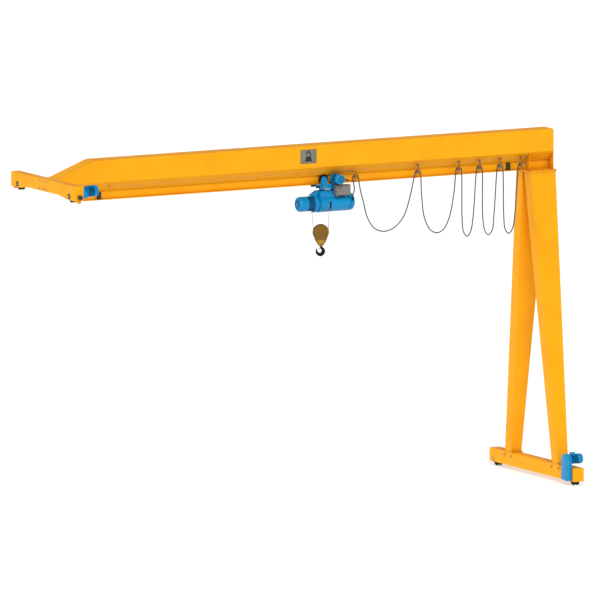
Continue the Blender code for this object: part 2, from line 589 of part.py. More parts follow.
# ---------------------------------------------------------------------- hoist
def make_hoist():
    left, right = CASING_X
    casing = rod(CASING_R, "X", (0, 0, HOIST_Z), left, right, 28)
    top = prism([(-SADDLE_HALF, HOIST_Z), (SADDLE_HALF, HOIST_Z), (SADDLE_HALF, SADDLE_TOP - 0.03),
                 (SADDLE_HALF - 0.03, SADDLE_TOP), (-SADDLE_HALF + 0.03, SADDLE_TOP),
                 (-SADDLE_HALF, SADDLE_TOP - 0.03)], "X", left + 0.001, 7.03)
    lugs = []
    for x in WHEEL_X:
        for side in (-1, 1):
            lugs.append(box((x - 0.035, side * 0.06 - 0.012, SADDLE_TOP - 0.02),
                            (x + 0.035, side * 0.06 + 0.012, 6.683)))
    casing = joined(casing, top, *lugs)
    bore = rod(CASING_R - CASING_WALL, "X", (0, 0, HOIST_Z), left - 0.1, right + 0.1, 28)
    holes = [rod(HANGER_R + GAP, "Y", (x, 0, HANGER_Z), -0.2, 0.2, 20) for x in WHEEL_X]
    slot = box((6.78, -0.24, 6.00), (6.83, -0.125, 6.33))
    place(cut(casing, *holes, slot, bore), "drum_casing", "hoist_blue")

    drum = turned([(0, 6.592), (0.05, 6.592), (0.05, 6.60), (0.175, 6.60), (0.175, 6.61),
                   (DRUM_R, 6.615), (DRUM_R, 7.245), (0.175, 7.25), (0.175, 7.26), (0.05, 7.26),
                   (0.05, 7.272), (0, 7.272)], "X", (0, 0, HOIST_Z), 28)
    place(drum, "rope_drum", "steel", (6.93, 0, HOIST_Z))

    stop = left - GAP
    coupling = turned([(0, 6.463), (0.172, 6.463), (0.172, 6.475), (0.187, 6.485), (0.187, stop),
                       (0, stop)], "X", (0, 0, HOIST_Z), 28)
    motor_top = HOIST_Z + HOIST_MOTOR_R + 0.003
    shoulder = prism([(6.466, HOIST_Z), (stop, HOIST_Z), (stop, SADDLE_TOP), (6.545, SADDLE_TOP),
                      (6.40, motor_top + 0.012), (6.40, motor_top), (6.466, motor_top)],
                     "Y", -0.07, 0.07)
    anchor = box((ANCHOR.x - 0.016, ANCHOR.y - 0.018, ANCHOR.z + 0.001),
                 (6.50, ANCHOR.y + 0.018, 6.1245))
    root = box((6.466, ANCHOR.y - 0.018, 6.11), (6.50, ANCHOR.y + 0.018, 6.16))
    place(joined(coupling, shoulder, anchor, root), "coupling_housing", "hoist_blue")

    end = 6.463 - GAP
    outer, barrel = HOIST_MOTOR_R, HOIST_MOTOR_R - 0.009
    motor = turned([(0, end), (outer, end), (outer, 6.42), (barrel, 6.41), (barrel, 6.20),
                    (outer, 6.19), (outer, 6.140), (0.148, 6.110), (0.11, 6.095), (0, 6.090)],
                   "X", (0, 0, HOIST_Z), 28)
    place(motor, "hoist_motor", "hoist_blue", (end, 0, HOIST_Z))

    start = right + GAP
    gearbox = turned([(0, start), (0.193, start), (0.193, 7.375), (0.18, 7.412), (0.14, 7.435),
                      (0.06, 7.445), (0, 7.445)], "X", (0, 0, HOIST_Z), 28)
    gland = rod(0.018, "Z", (GLAND_X, -0.195, 0), 6.31, 6.401, 16)
    place(joined(gearbox, gland), "hoist_gearbox", "hoist_blue", (start, 0, HOIST_Z))

    cabinet = box((6.90, -0.30, 6.465), (7.25, -SADDLE_HALF - 0.005, 6.69))
    feet = [box((x, -0.175, 6.4150), (x + 0.04, -SADDLE_HALF - 0.007, 6.47)) for x in (6.95, 7.17)]
    place(joined(cabinet, *feet), "control_box", "box_grey")


# ----------------------------------------------------------------- hook block
def turn_block(shape, name, material, origin=BLOCK):
    """Move a shape drawn about the sheave's centre to the block's place."""
    shape.data.transform(Matrix.Translation(BLOCK) @ Matrix.Rotation(BLOCK_TURN, 4, "Z"))
    return place(shape, name, material, origin)


def make_hook_block():
    cheek_r, cheek_in, cheek_out = 0.174, 0.030, 0.038
    outline = arc((0, 0), cheek_r, -35, 215, 20) + [(-0.105, -0.20), (-0.035, -0.302),
                                                    (0.035, -0.302), (0.105, -0.20)]
    cheeks = [prism(outline, "Y", side[0], side[1])
              for side in ((-cheek_out, -cheek_in), (cheek_in, cheek_out))]
    spacers = [rod(0.010, "Y", (x, 0, -0.205), -0.034, 0.034, 12) for x in (-0.082, 0.082)]
    frame = joined(cheeks[0], cheeks[1], *spacers)
    pin_hole = rod(0.030 + GAP, "Y", (0, 0, 0), -0.1, 0.1, 24)
    trunnion_hole = rod(0.016 + RUN, "Y", (0, 0, -0.255), -0.1, 0.1, 20)
    turn_block(cut(frame, pin_hole, trunnion_hole), "hook_block_frame", "block_ochre")

    rim = SHEAVE_PITCH_R + 0.014
    groove = arc((SHEAVE_PITCH_R + 0.0035, 0), 0.0145, 270, 90, 6)
    sheave = [(0.0305, -0.024), (rim, -0.024), (rim - 0.001, -0.0145), *groove[1:-1],
              (rim - 0.001, 0.0145), (rim, 0.024), (0.0305, 0.024)]
    turn_block(turned(sheave, "Y", (0, 0, 0), 32), "rope_sheave", "black_iron")
    pin = turned([(0, -0.052), (0.040, -0.052), (0.040, -cheek_out - GAP), (0.030, -cheek_out - GAP),
                  (0.030, cheek_out + GAP), (0.040, cheek_out + GAP), (0.040, 0.052), (0, 0.052)],
                 "Y", (0, 0, 0), 24)
    turn_block(pin, "sheave_pin", "steel")

    yoke = box((-0.034, -0.0285, -0.283), (0.034, 0.0285, -0.227))
    yoke = joined(yoke, rod(0.016, "Y", (0, 0, -0.255), -0.044, 0.044, 20))
    yoke = cut(yoke, rod(0.0165 + RUN, "Z", (0, 0, 0), -0.4, -0.2, 24))
    turn_block(yoke, "crosshead", "steel", BLOCK + Vector((0, 0, -0.255)))

    make_hook()


def make_hook():
    """Forged single hook: a tapering round section swept round the bowl, on a nutted shank."""
    # centre line X, Z and section radius, from the shank's foot to the tip
    stations = ((0.0, -0.290, 0.022), (0.0, -0.318, 0.024), (0.022, -0.348, 0.029),
                (0.051, -0.380, 0.036), (0.056, -0.420, 0.041), (0.034, -0.464, 0.043),
                (-0.010, -0.487, 0.040), (-0.058, -0.470, 0.034), (-0.088, -0.434, 0.027),
                (-0.097, -0.396, 0.018), (-0.092, -0.364, 0.010))
    line = smooth_path([(x, 0, z) for x, z, _ in stations], 2)
    radii = [r for _, _, r in stations]
    widths = [(radii[i // 2] + radii[(i + 1) // 2]) / 2 for i in range(len(line))]
    builder = bmesh.new()
    rings = []
    sides = 12
    for index, (spot, width) in enumerate(zip(line, widths)):
        before, after = line[max(index - 1, 0)], line[min(index + 1, len(line) - 1)]
        along = (after - before).normalized()
        across = along.cross(Vector((0, 1, 0))).normalized()
        ring = []
        for step in range(sides):
            angle = 2 * math.pi * step / sides
            offset = across * math.cos(angle) + Vector((0, 0.78, 0)) * math.sin(angle)
            ring.append(builder.verts.new(spot + offset * width))
        rings.append(ring)
    for low, high in zip(rings, rings[1:]):
        for step in range(sides):
            nxt = (step + 1) % sides
            builder.faces.new((low[step], low[nxt], high[nxt], high[step]))
    builder.faces.new(rings[0])
    builder.faces.new(rings[-1])
    bowl = as_object(builder)
    shank = turned([(0, -0.300), (0.0165, -0.300), (0.0165, -0.227 + GAP), (0.027, -0.227 + GAP),
                    (0.027, -0.203), (0, -0.203)], "Z", (0, 0, 0), 24)
    turn_block(joined(bowl, shank), "hook", "black_iron", BLOCK + Vector((0, 0, -0.255)))


def make_hoist_rope():
    """Two falls and the half turn under the sheave, as one rope."""
    turn = Matrix.Translation(BLOCK) @ Matrix.Rotation(BLOCK_TURN, 4, "Z")
    bend = [turn @ Vector((SHEAVE_PITCH_R * math.cos(a), 0, SHEAVE_PITCH_R * math.sin(a)))
            for a in (math.pi + math.pi * i / 18 for i in range(19))]
    tube([ANCHOR, *bend, DRUM_EXIT], ROPE_R, "hoist_rope", "rope_steel")


# -------------------------------------------------------------------- festoon
def make_carrier(name, x):
    """Hanger strap round the wire with a half-round saddle under the cable."""
    strap = box((x - 0.022, -0.236, 6.795), (x + 0.022, -0.230, 7.022))
    roof = box((x - 0.022, -0.236, 7.016), (x + 0.022, -0.190, 7.022))
    lip = box((x - 0.022, -0.196, 6.985), (x + 0.022, -0.190, 7.022))
    seat = prism(arc((x, SADDLE_LINE), SADDLE_R, 0, 180, 12), "Y", -0.2305, -0.19)
    place(joined(strap, roof, lip, seat), name, "steel", (x, FESTOON_Y, WIRE_Z))


def make_festoon():
    left, right = 6.0 - 4.6, 11.62
    wire = rod(WIRE_R, "X", (0, FESTOON_Y, WIRE_Z), left, right, 8)
    arms = []
    for x in (left, right):
        outline = [(-0.1325, 7.0), (-0.222, 6.985), (-0.222, 7.015), (-0.1385, 7.015)]
        arms.append(prism(outline, "X", x - 0.004, x + 0.004))
    place(joined(wire, *arms), "festoon_wire", "steel")
    for index, x in enumerate(CARRIER_X, 1):
        make_carrier(f"festoon_carrier_{index}", x)
    make_carrier("festoon_end_clamp", FIXED_CLAMP_X)
    tube(smooth_path(CABLE_ROUTE, 2), CABLE_R, "festoon_cable", "cable")


def make_capacity_plate():
    face = -GIRDER_HALF - GAP
    plate = box((6.06, face - 0.004, 7.20), (6.45, face, 7.50))
    place(plate, "capacity_plate", "plate_grey")


# ----------------------------------------------------------------------- main
for old in list(bpy.data.objects):
    bpy.data.objects.remove(old)
CRANE = bpy.data.objects.new("crane_origin", None)
bpy.context.scene.collection.objects.link(CRANE)
CRANE.location = (-(MACHINE_LEFT + MACHINE_RIGHT) / 2, 0, 0)
MATERIALS = make_materials()

make_girder()
make_track()
make_seat()
make_leg("leg_near", -1)
make_leg("leg_far", 1)
make_ground_beam()
make_runway_carriage()
make_travel_wheels()
make_ground_drive()
make_runway_drive()
make_trolley()
make_hoist()
make_hook_block()
make_hoist_rope()
make_festoon()
make_capacity_plate()
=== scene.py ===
import json
import math

import bmesh
import bpy
from mathutils import Matrix, Vector
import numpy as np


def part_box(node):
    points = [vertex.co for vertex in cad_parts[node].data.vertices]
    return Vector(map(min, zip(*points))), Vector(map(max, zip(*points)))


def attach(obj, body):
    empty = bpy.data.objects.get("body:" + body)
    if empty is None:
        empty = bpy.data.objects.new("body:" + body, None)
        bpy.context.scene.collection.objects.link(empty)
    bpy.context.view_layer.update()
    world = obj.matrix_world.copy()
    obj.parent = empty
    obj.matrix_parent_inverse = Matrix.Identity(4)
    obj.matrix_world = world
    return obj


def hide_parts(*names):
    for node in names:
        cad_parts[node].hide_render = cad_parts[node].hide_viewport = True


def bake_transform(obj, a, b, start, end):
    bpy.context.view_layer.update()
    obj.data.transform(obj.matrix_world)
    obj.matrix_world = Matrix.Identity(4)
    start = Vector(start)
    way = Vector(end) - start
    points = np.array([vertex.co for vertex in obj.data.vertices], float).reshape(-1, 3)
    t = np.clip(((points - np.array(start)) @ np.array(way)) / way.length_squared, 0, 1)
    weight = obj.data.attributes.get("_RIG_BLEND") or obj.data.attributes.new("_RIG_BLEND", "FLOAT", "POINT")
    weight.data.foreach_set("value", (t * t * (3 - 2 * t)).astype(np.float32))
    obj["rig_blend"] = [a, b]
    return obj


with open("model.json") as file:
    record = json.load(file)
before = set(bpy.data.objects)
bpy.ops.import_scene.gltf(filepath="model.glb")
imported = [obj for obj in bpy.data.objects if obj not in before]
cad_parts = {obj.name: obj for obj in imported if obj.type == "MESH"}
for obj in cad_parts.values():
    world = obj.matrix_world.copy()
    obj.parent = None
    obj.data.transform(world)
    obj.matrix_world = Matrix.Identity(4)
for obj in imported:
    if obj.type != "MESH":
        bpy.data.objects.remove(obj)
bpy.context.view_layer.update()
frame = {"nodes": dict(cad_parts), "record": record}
NODES = frame["nodes"]


def middle(node):
    """The centre of a CAD node's box at rest."""
    low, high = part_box(node)
    return (low + high) / 2


# The crane's layout counts X from the runway rail, under the runway wheels.
RAIL_X = middle("runway_wheel_near").x


def at(x, y=0.0, z=0.0):
    """A point of the crane's layout in the row frame."""
    return Vector((x + RAIL_X, y, z))


def around(degrees):
    """The unit vector this far round an axis along X, from +Y towards +Z."""
    angle = math.radians(degrees)
    return Vector((0, math.cos(angle), math.sin(angle)))


# ---------------------------------------------------------------------- stage
VIEW_TURN = math.radians(28.47)
VIEW_DROP = math.radians(7.80)
VIEW_DISTANCE = 539.0
VIEW_TARGET = at(6.162, 0.0, 4.212)


def aim(thing, direction):
    thing.rotation_euler = Vector(direction).to_track_quat("-Z", "Y").to_euler()


def make_camera():
    camera = bpy.data.objects.new("camera", bpy.data.cameras.new("camera"))
    bpy.context.scene.collection.objects.link(camera)
    look = Vector((math.sin(VIEW_TURN) * math.cos(VIEW_DROP),
                   math.cos(VIEW_TURN) * math.cos(VIEW_DROP), -math.sin(VIEW_DROP)))
    camera.location = VIEW_TARGET - look * VIEW_DISTANCE
    aim(camera, look)
    camera.data.lens = 1500.0
    camera.data.sensor_width = 36.0
    camera.data.clip_end = 1500.0
    bpy.context.scene.camera = camera


def make_sun(name, direction, strength, spread):
    light = bpy.data.lights.new(name, "SUN")
    light.energy = strength
    light.angle = math.radians(spread)
    sun = bpy.data.objects.new(name, light)
    bpy.context.scene.collection.objects.link(sun)
    aim(sun, direction)


def make_world():
    """Even white light, with a plain white backdrop wherever the camera sees past the floor."""
    world = bpy.data.worlds.new("studio")
    world.use_nodes = True
    tree = world.node_tree
    lighting, backdrop = tree.nodes["Background"], add(tree, "ShaderNodeBackground")
    for shader, strength in ((lighting, 0.45), (backdrop, 1.0)):
        preset(shader, {"Color": (1.0, 1.0, 1.0, 1.0), "Strength": strength})
    mixed = add(tree, "ShaderNodeMixShader")
    for source, target in ((add(tree, "ShaderNodeLightPath").outputs["Is Camera Ray"], mixed.inputs["Fac"]),
                           (lighting.outputs["Background"], mixed.inputs[1]),
                           (backdrop.outputs["Background"], mixed.inputs[2]),
                           (mixed.outputs["Shader"], tree.nodes["World Output"].inputs["Surface"])):
        tree.links.new(source, target)
    bpy.context.scene.world = world


def make_stage():
    make_world()
    bpy.context.scene.view_settings.view_transform = "Standard"
    make_sun("key", (0.24, 0.74, -0.62), 1.50, 22)
    make_sun("fill", (0.95, -0.10, -0.35), 0.72, 40)

    builder = bmesh.new()
    bmesh.ops.create_grid(builder, x_segments=1, y_segments=1, size=420.0)
    floor = link_mesh(builder, "studio_floor", make_floor_paint())
    floor.location.z = -0.002


# ------------------------------------------------------------------ materials
def new_material(name):
    made = bpy.data.materials.new(name)
    made.use_nodes = True
    tree = made.node_tree
    return made, tree, tree.nodes["Principled BSDF"]


def add(tree, kind, **values):
    """A node with its properties or input values set by name."""
    node = tree.nodes.new(kind)
    for key, value in values.items():
        if key in node.inputs:
            node.inputs[key].default_value = value
        else:
            setattr(node, key, value)
    return node


def preset(node, values):
    for key, value in values.items():
        node.inputs[key].default_value = value


def noise(tree, scale, detail=4.0, rough=0.55, stretch=(1, 1, 1)):
    """Noise in the object's own metres, stretched along an axis if asked."""
    place = add(tree, "ShaderNodeTexCoord")
    fit = add(tree, "ShaderNodeMapping")
    fit.inputs["Scale"].default_value = stretch
    tree.links.new(place.outputs["Object"], fit.inputs["Vector"])
    made = add(tree, "ShaderNodeTexNoise", Scale=scale, Detail=detail, Roughness=rough)
    tree.links.new(fit.outputs["Vector"], made.inputs["Vector"])
    return made.outputs["Fac"]


def spread(tree, value, low, high, to_low, to_high):
    """Map a value's range to another, clamped."""
    node = add(tree, "ShaderNodeMapRange")
    preset(node, {"From Min": low, "From Max": high, "To Min": to_low, "To Max": to_high})
    tree.links.new(value, node.inputs["Value"])
    return node.outputs["Result"]


def blend_colour(tree, factor, first, second):
    """Mix two colours, each a socket or a plain (r, g, b)."""
    node = add(tree, "ShaderNodeMix", data_type="RGBA")
    for socket, value in ((node.inputs[6], first), (node.inputs[7], second)):
        if isinstance(value, tuple):
            socket.default_value = (*value, 1.0)
        else:
            tree.links.new(value, socket)
    tree.links.new(factor, node.inputs[0])
    return node.outputs[2]


def add_bump(tree, shader, height, strength, distance):
    node = add(tree, "ShaderNodeBump", Strength=strength, Distance=distance)
    tree.links.new(height, node.inputs["Height"])
    tree.links.new(node.outputs["Normal"], shader.inputs["Normal"])


def edge_mask(tree, radius):
    """1 along a piece's corners, from how far its normal turns within a radius."""
    rounded = add(tree, "ShaderNodeBevel", samples=4, Radius=radius)
    plain = add(tree, "ShaderNodeNewGeometry")
    dot = add(tree, "ShaderNodeVectorMath", operation="DOT_PRODUCT")
    tree.links.new(rounded.outputs["Normal"], dot.inputs[0])
    tree.links.new(plain.outputs["Normal"], dot.inputs[1])
    return spread(tree, dot.outputs["Value"], 0.98, 0.80, 0.0, 1.0)


def painted_underside_shade(tree, most):
    """Rises to `most` where the surface faces the ground: painted shade on the undersides."""
    geometry = add(tree, "ShaderNodeNewGeometry")
    axes = add(tree, "ShaderNodeSeparateXYZ")
    tree.links.new(geometry.outputs["Normal"], axes.inputs["Vector"])
    return spread(tree, axes.outputs["Z"], 0.05, -0.85, 0.0, most)


def painted_corner_shade(tree, reach, most):
    """Rises to `most` in corners and gaps closer than `reach`: painted shade where parts crowd together."""
    shelter = add(tree, "ShaderNodeAmbientOcclusion", samples=6, Distance=reach)
    return spread(tree, shelter.outputs["AO"], 0.85, 0.30, 0.0, most)


def multiply(tree, first, second):
    node = add(tree, "ShaderNodeMath", operation="MULTIPLY")
    tree.links.new(first, node.inputs[0])
    tree.links.new(second, node.inputs[1])
    return node.outputs["Value"]


def enamel(name, colour, shade, chip, rough=(0.38, 0.54), coat=0.08, shine=0.2, reach=0.10):
    """Sprayed enamel: cloudy colour, rain streaks, orange peel and worn corners, with painted shade on
    undersides and in corners.
    """
    made, tree, shader = new_material(name)
    clouds = spread(tree, noise(tree, 1.3, 3.0), 0.35, 0.70, 0.0, 1.0)
    body = blend_colour(tree, clouds, colour, shade)
    streaks = spread(tree, noise(tree, 9.0, 5.0, 0.6, (1, 1, 0.08)), 0.62, 0.80, 0.0, 0.22)
    body = blend_colour(tree, streaks, body, tuple(c * 0.62 for c in shade))
    # painted shade: faces turned to the ground are darkened in the colour
    body = blend_colour(tree, painted_underside_shade(tree, 0.55), body, tuple(c * 0.70 for c in shade))
    # painted shade: corners and gaps darkened in the colour by ambient occlusion
    body = blend_colour(tree, painted_corner_shade(tree, reach, 0.55), body, tuple(c * 0.30 for c in shade))
    flakes = spread(tree, noise(tree, 38.0, 6.0), 0.52, 0.60, 0.0, 0.75)
    worn = multiply(tree, edge_mask(tree, 0.004), flakes)
    body = blend_colour(tree, worn, body, chip)
    tree.links.new(body, shader.inputs["Base Color"])
    gloss = spread(tree, noise(tree, 6.0, 6.0, 0.65), 0.3, 0.7, *rough)
    tree.links.new(gloss, shader.inputs["Roughness"])
    preset(shader, {"Specular IOR Level": shine, "Coat Weight": coat, "Coat Roughness": 0.18})
    add_bump(tree, shader, noise(tree, 160.0, 2.0), 0.10, 0.0008)
    return made


def metal(name, colour, dark, rough, grain, metallic=1.0, bump=0.15):
    """Bare, plated or cast metal with stains and a grain of the given scale."""
    made, tree, shader = new_material(name)
    stain = spread(tree, noise(tree, 14.0, 6.0, 0.6), 0.40, 0.72, 0.0, 1.0)
    tree.links.new(blend_colour(tree, stain, colour, dark), shader.inputs["Base Color"])
    tree.links.new(spread(tree, noise(tree, grain, 5.0), 0.3, 0.7, *rough), shader.inputs["Roughness"])
    preset(shader, {"Metallic": metallic, "Specular IOR Level": 0.5 if metallic else 0.15})
    add_bump(tree, shader, noise(tree, grain * 3.0, 4.0), bump, 0.0006)
    return made


def rubbery(name, colour, dusty, scale, bump):
    """Rubber or cable sheath: dusty patches over a dull dark body."""
    made, tree, shader = new_material(name)
    dust = spread(tree, noise(tree, scale, 6.0, 0.65), 0.42, 0.75, 0.0, 1.0)
    tree.links.new(blend_colour(tree, dust, colour, dusty), shader.inputs["Base Color"])
    dullness = spread(tree, noise(tree, scale * 3, 4.0), 0.3, 0.7, 0.55, 0.85)
    tree.links.new(dullness, shader.inputs["Roughness"])
    add_bump(tree, shader, noise(tree, scale * 12, 3.0), bump, 0.0005)
    return made


def make_floor_paint():
    made, tree, shader = new_material("floor_paint")
    patches = spread(tree, noise(tree, 0.15, 4.0), 0.3, 0.7, 0.0, 1.0)
    tree.links.new(blend_colour(tree, patches, (0.78, 0.78, 0.78), (0.82, 0.82, 0.82)),
                   shader.inputs["Base Color"])
    preset(shader, {"Emission Color": (1.0, 1.0, 1.0, 1.0), "Emission Strength": 0.45, "Roughness": 0.9,
                    "Specular IOR Level": 0.1})
    return made


ENAMELS = {     # colour, its darker patches, chips, range of roughness, coat, shine, reach of the painted corner shade
    "crane_yellow": ((1.0, 0.425, 0.005), (0.92, 0.370, 0.004), (0.42, 0.20, 0.04),
                     (0.42, 0.58), 0.0, 0.12, 0.16),
    "hoist_blue": ((0.0004, 0.285, 0.60), (0.0004, 0.225, 0.50), (0.04, 0.07, 0.09),
                   (0.22, 0.38), 0.10, 0.2, 0.05),
    # a darker copy of hoist_blue: painted shade, used on the brake housing and the fan grille
    "painted_shade_blue": ((0.0004, 0.120, 0.30), (0.0004, 0.090, 0.24), (0.03, 0.05, 0.06),
                  (0.24, 0.40), 0.10, 0.2, 0.05),
    "carrier_bronze": ((0.36, 0.150, 0.030), (0.20, 0.085, 0.020), (0.05, 0.03, 0.02)),
    "block_ochre": ((0.215, 0.105, 0.006), (0.105, 0.050, 0.004), (0.03, 0.02, 0.01), (0.30, 0.50), 0.15),
    # a lighter copy of block_ochre: painted highlight for the hook block's neck plates
    "painted_highlight_ochre": ((0.46, 0.235, 0.012), (0.30, 0.15, 0.01), (0.05, 0.03, 0.02), (0.30, 0.50), 0.15),
    "box_grey": ((0.235, 0.205, 0.190), (0.18, 0.16, 0.15), (0.10, 0.10, 0.10)),
    "plate_grey": ((0.215, 0.220, 0.175), (0.18, 0.185, 0.15), (0.08, 0.08, 0.07)),
    "sign_black": ((0.03, 0.03, 0.032), (0.02, 0.02, 0.02), (0.1, 0.1, 0.1)),
}
METALS = {      # colour, stains, range of roughness, grain, then metallic and bump where they differ
    "steel": ((0.46, 0.45, 0.43), (0.27, 0.25, 0.23), (0.28, 0.46), 60.0),
    "bolt_steel": ((0.40, 0.38, 0.34), (0.22, 0.19, 0.15), (0.30, 0.50), 120.0),
    "black_iron": ((0.006, 0.006, 0.006), (0.015, 0.012, 0.010), (0.46, 0.66), 90.0, 0.0, 0.3),
    "rope_steel": ((0.55, 0.54, 0.52), (0.34, 0.32, 0.29), (0.30, 0.50), 200.0),
}
RUBBERS = {     # colour, dust, scale of the dust, bump
    "rubber": ((0.014, 0.014, 0.014), (0.045, 0.043, 0.040), 22.0, 0.25),
    "cable": ((0.050, 0.050, 0.048), (0.095, 0.092, 0.085), 16.0, 0.2),
}
READY = {}


def material(name):
    for make, table in ((enamel, ENAMELS), (metal, METALS), (rubbery, RUBBERS)):
        if name in table and name not in READY:
            READY[name] = make(name, *table[name])
    return READY[name]


# -------------------------------------------------------------- mesh building
def link_mesh(builder, name, paint, smooth=35):
    """Finish a bmesh as a linked, shaded object with its faces pointing out."""
    bmesh.ops.recalc_face_normals(builder, faces=builder.faces)
    mesh = bpy.data.meshes.new(name)
    builder.to_mesh(mesh)
    builder.free()
    mesh.materials.append(paint)
    mesh.shade_smooth()
    mesh.set_sharp_from_angle(angle=math.radians(smooth))
    made = bpy.data.objects.new(name, mesh)
    bpy.context.scene.collection.objects.link(made)
    return made


AXIS_TURN = {"X": Matrix(((0, 0, 1), (1, 0, 0), (0, 1, 0))).to_4x4(),
             "Y": Matrix(((1, 0, 0), (0, 0, 1), (0, 1, 0))).to_4x4(),
             "Z": Matrix.Identity(4)}


def skin(builder, rings):
    """Join a run of vertex rings with faces, close both ends and return all the faces."""
    faces = []
    for low, high in zip(rings, rings[1:]):
        faces += [builder.faces.new((low[i - 1], low[i], high[i], high[i - 1])) for i in range(len(low))]
    return faces + [builder.faces.new(rings[0]), builder.faces.new(rings[-1])]


def add_prism(builder, outline, axis, low, high, bevel=0.0):
    """Add an outline drawn across `axis`, extruded from low to high, with eased edges."""
    turn = AXIS_TURN[axis]
    faces = skin(builder, [[builder.verts.new(turn @ Vector((a, b, level))) for a, b in outline]
                           for level in (low, high)])
    bmesh.ops.recalc_face_normals(builder, faces=faces)
    if bevel:
        edges = {edge for face in faces for edge in face.edges}
        bmesh.ops.bevel(builder, geom=list(edges), offset=bevel, segments=2, profile=0.5,
                        affect="EDGES", clamp_overlap=True)


def add_box(builder, low, high, bevel=0.0):
    outline = [(low[0], low[1]), (high[0], low[1]), (high[0], high[1]), (low[0], high[1])]
    add_prism(builder, outline, "Z", low[2], high[2], bevel)


def add_pair_prism(builder, outline, side, inner, outer, bevel):
    """Add a prism across Y that stands between two distances on one side of the middle."""
    add_prism(builder, outline, "Y", *sorted((side * inner, side * outer)), bevel)


def add_slab(builder, corners, thick):
    """Add a flat plate through its corners, spread by the vector `thick` to each side."""
    skin(builder, [[builder.verts.new(corner + shift) for corner in corners] for shift in (-thick, thick)])


def add_turned(builder, profile, axis, centre, segments=48):
    """Add a profile of (radius, distance) points spun about `axis` through centre."""
    turn = AXIS_TURN[axis]
    rings = []
    for radius, distance in profile:
        if radius == 0:
            rings.append([builder.verts.new(centre + (turn @ Vector((0, 0, distance))))] * segments)
            continue
        rings.append([builder.verts.new(centre + (turn @ Vector((a, b, distance))))
                      for a, b in circle(radius, segments)])
    pairs = list(zip(rings, rings[1:]))
    if profile[0][0] > 0 and profile[-1][0] > 0:
        pairs.append((rings[-1], rings[0]))
    for low, high in pairs:
        for i in range(segments):
            corners = list(dict.fromkeys([low[i - 1], low[i], high[i], high[i - 1]]))
            builder.faces.new(corners)


def rod(radius, low, high):
    """The profile of a plain solid rod from low to high."""
    return [(0, low), (radius, low), (radius, high), (0, high)]


def sided(profile, side):
    """A profile kept (side 1) or mirrored (side -1)."""
    return [(radius, side * distance) for radius, distance in profile]


def both_ends(profile):
    """The whole profile of a symmetrical part, from its upper half with the outer end first."""
    return sided(profile, -1) + profile[::-1]


def circle(radius, count):
    """Points spaced evenly round a circle, starting on its first axis."""
    turns = [2 * math.pi * i / count for i in range(count)]
    return [(radius * math.cos(turn), radius * math.sin(turn)) for turn in turns]


def hexagon(a, b, radius):
    return [(a + x, b + y) for x, y in circle(radius, 6)]


def arc(centre, radius, start, stop, steps):
    angles = [math.radians(start + (stop - start) * i / steps) for i in range(steps + 1)]
    return [(centre[0] + radius * math.cos(a), centre[1] + radius * math.sin(a)) for a in angles]


def add_bolt(builder, spot, normal, size=0.024):
    """Hex head on a washer, standing on a face; size is the thread's diameter."""
    normal = Vector(normal).normalized()
    turn = Matrix.Translation(spot) @ normal.to_track_quat("Z", "Y").to_matrix().to_4x4()
    part = bmesh.new()
    washer = size * 0.14
    add_turned(part, rod(size * 1.05, 0, washer), "Z", Vector(), 16)
    add_prism(part, hexagon(0, 0, size * 0.86), "Z", washer, size * 0.78, size * 0.06)
    part.transform(turn)
    mesh = bpy.data.meshes.new("bolt")
    part.to_mesh(mesh)
    part.free()
    builder.from_mesh(mesh)
    bpy.data.meshes.remove(mesh)


def bolts(name, body, spots, size=0.024):
    """One piece holding a set of bolts, each a (point, normal)."""
    builder = bmesh.new()
    for spot, normal in spots:
        add_bolt(builder, spot, normal, size)
    finish_piece(builder, name, body, "steel", paint="bolt_steel")


def finish_piece(builder, name, body, slot, replaced=(), paint=None, smooth=35):
    """Link a built piece, paint it and ride it on its body, hiding the parts it replaces."""
    made = link_mesh(builder, name, material(paint or slot), smooth)
    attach(made, body)
    if replaced:
        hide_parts(*replaced)


def turned_piece(name, body, slot, profile, axis, centre, segments, replaced=(), paint=None):
    """A piece that is a single turned profile."""
    builder = bmesh.new()
    add_turned(builder, profile, axis, centre, segments)
    finish_piece(builder, name, body, slot, replaced, paint)


# ---------------------------------------------------------------------- cords
CABLE_DIAMETER = 0.026
TOW_CLAMP_X, FIXED_CLAMP_X = 7.41, 11.49
CARRIER_X = (8.94, 9.95, 10.46, 10.97)
FESTOON_Y = -0.21
SADDLE_LINE = 6.82           # centre of the saddles' arc
SADDLE_WRAP = 0.066          # radius of the cable's centre line over a saddle


def over_saddle(x):
    """Five points of the cable's centre line over the saddle at x."""
    return [(x - SADDLE_WRAP * math.cos(a), FESTOON_Y, SADDLE_LINE + SADDLE_WRAP * math.sin(a))
            for a in (math.pi * i / 4 for i in range(5))]


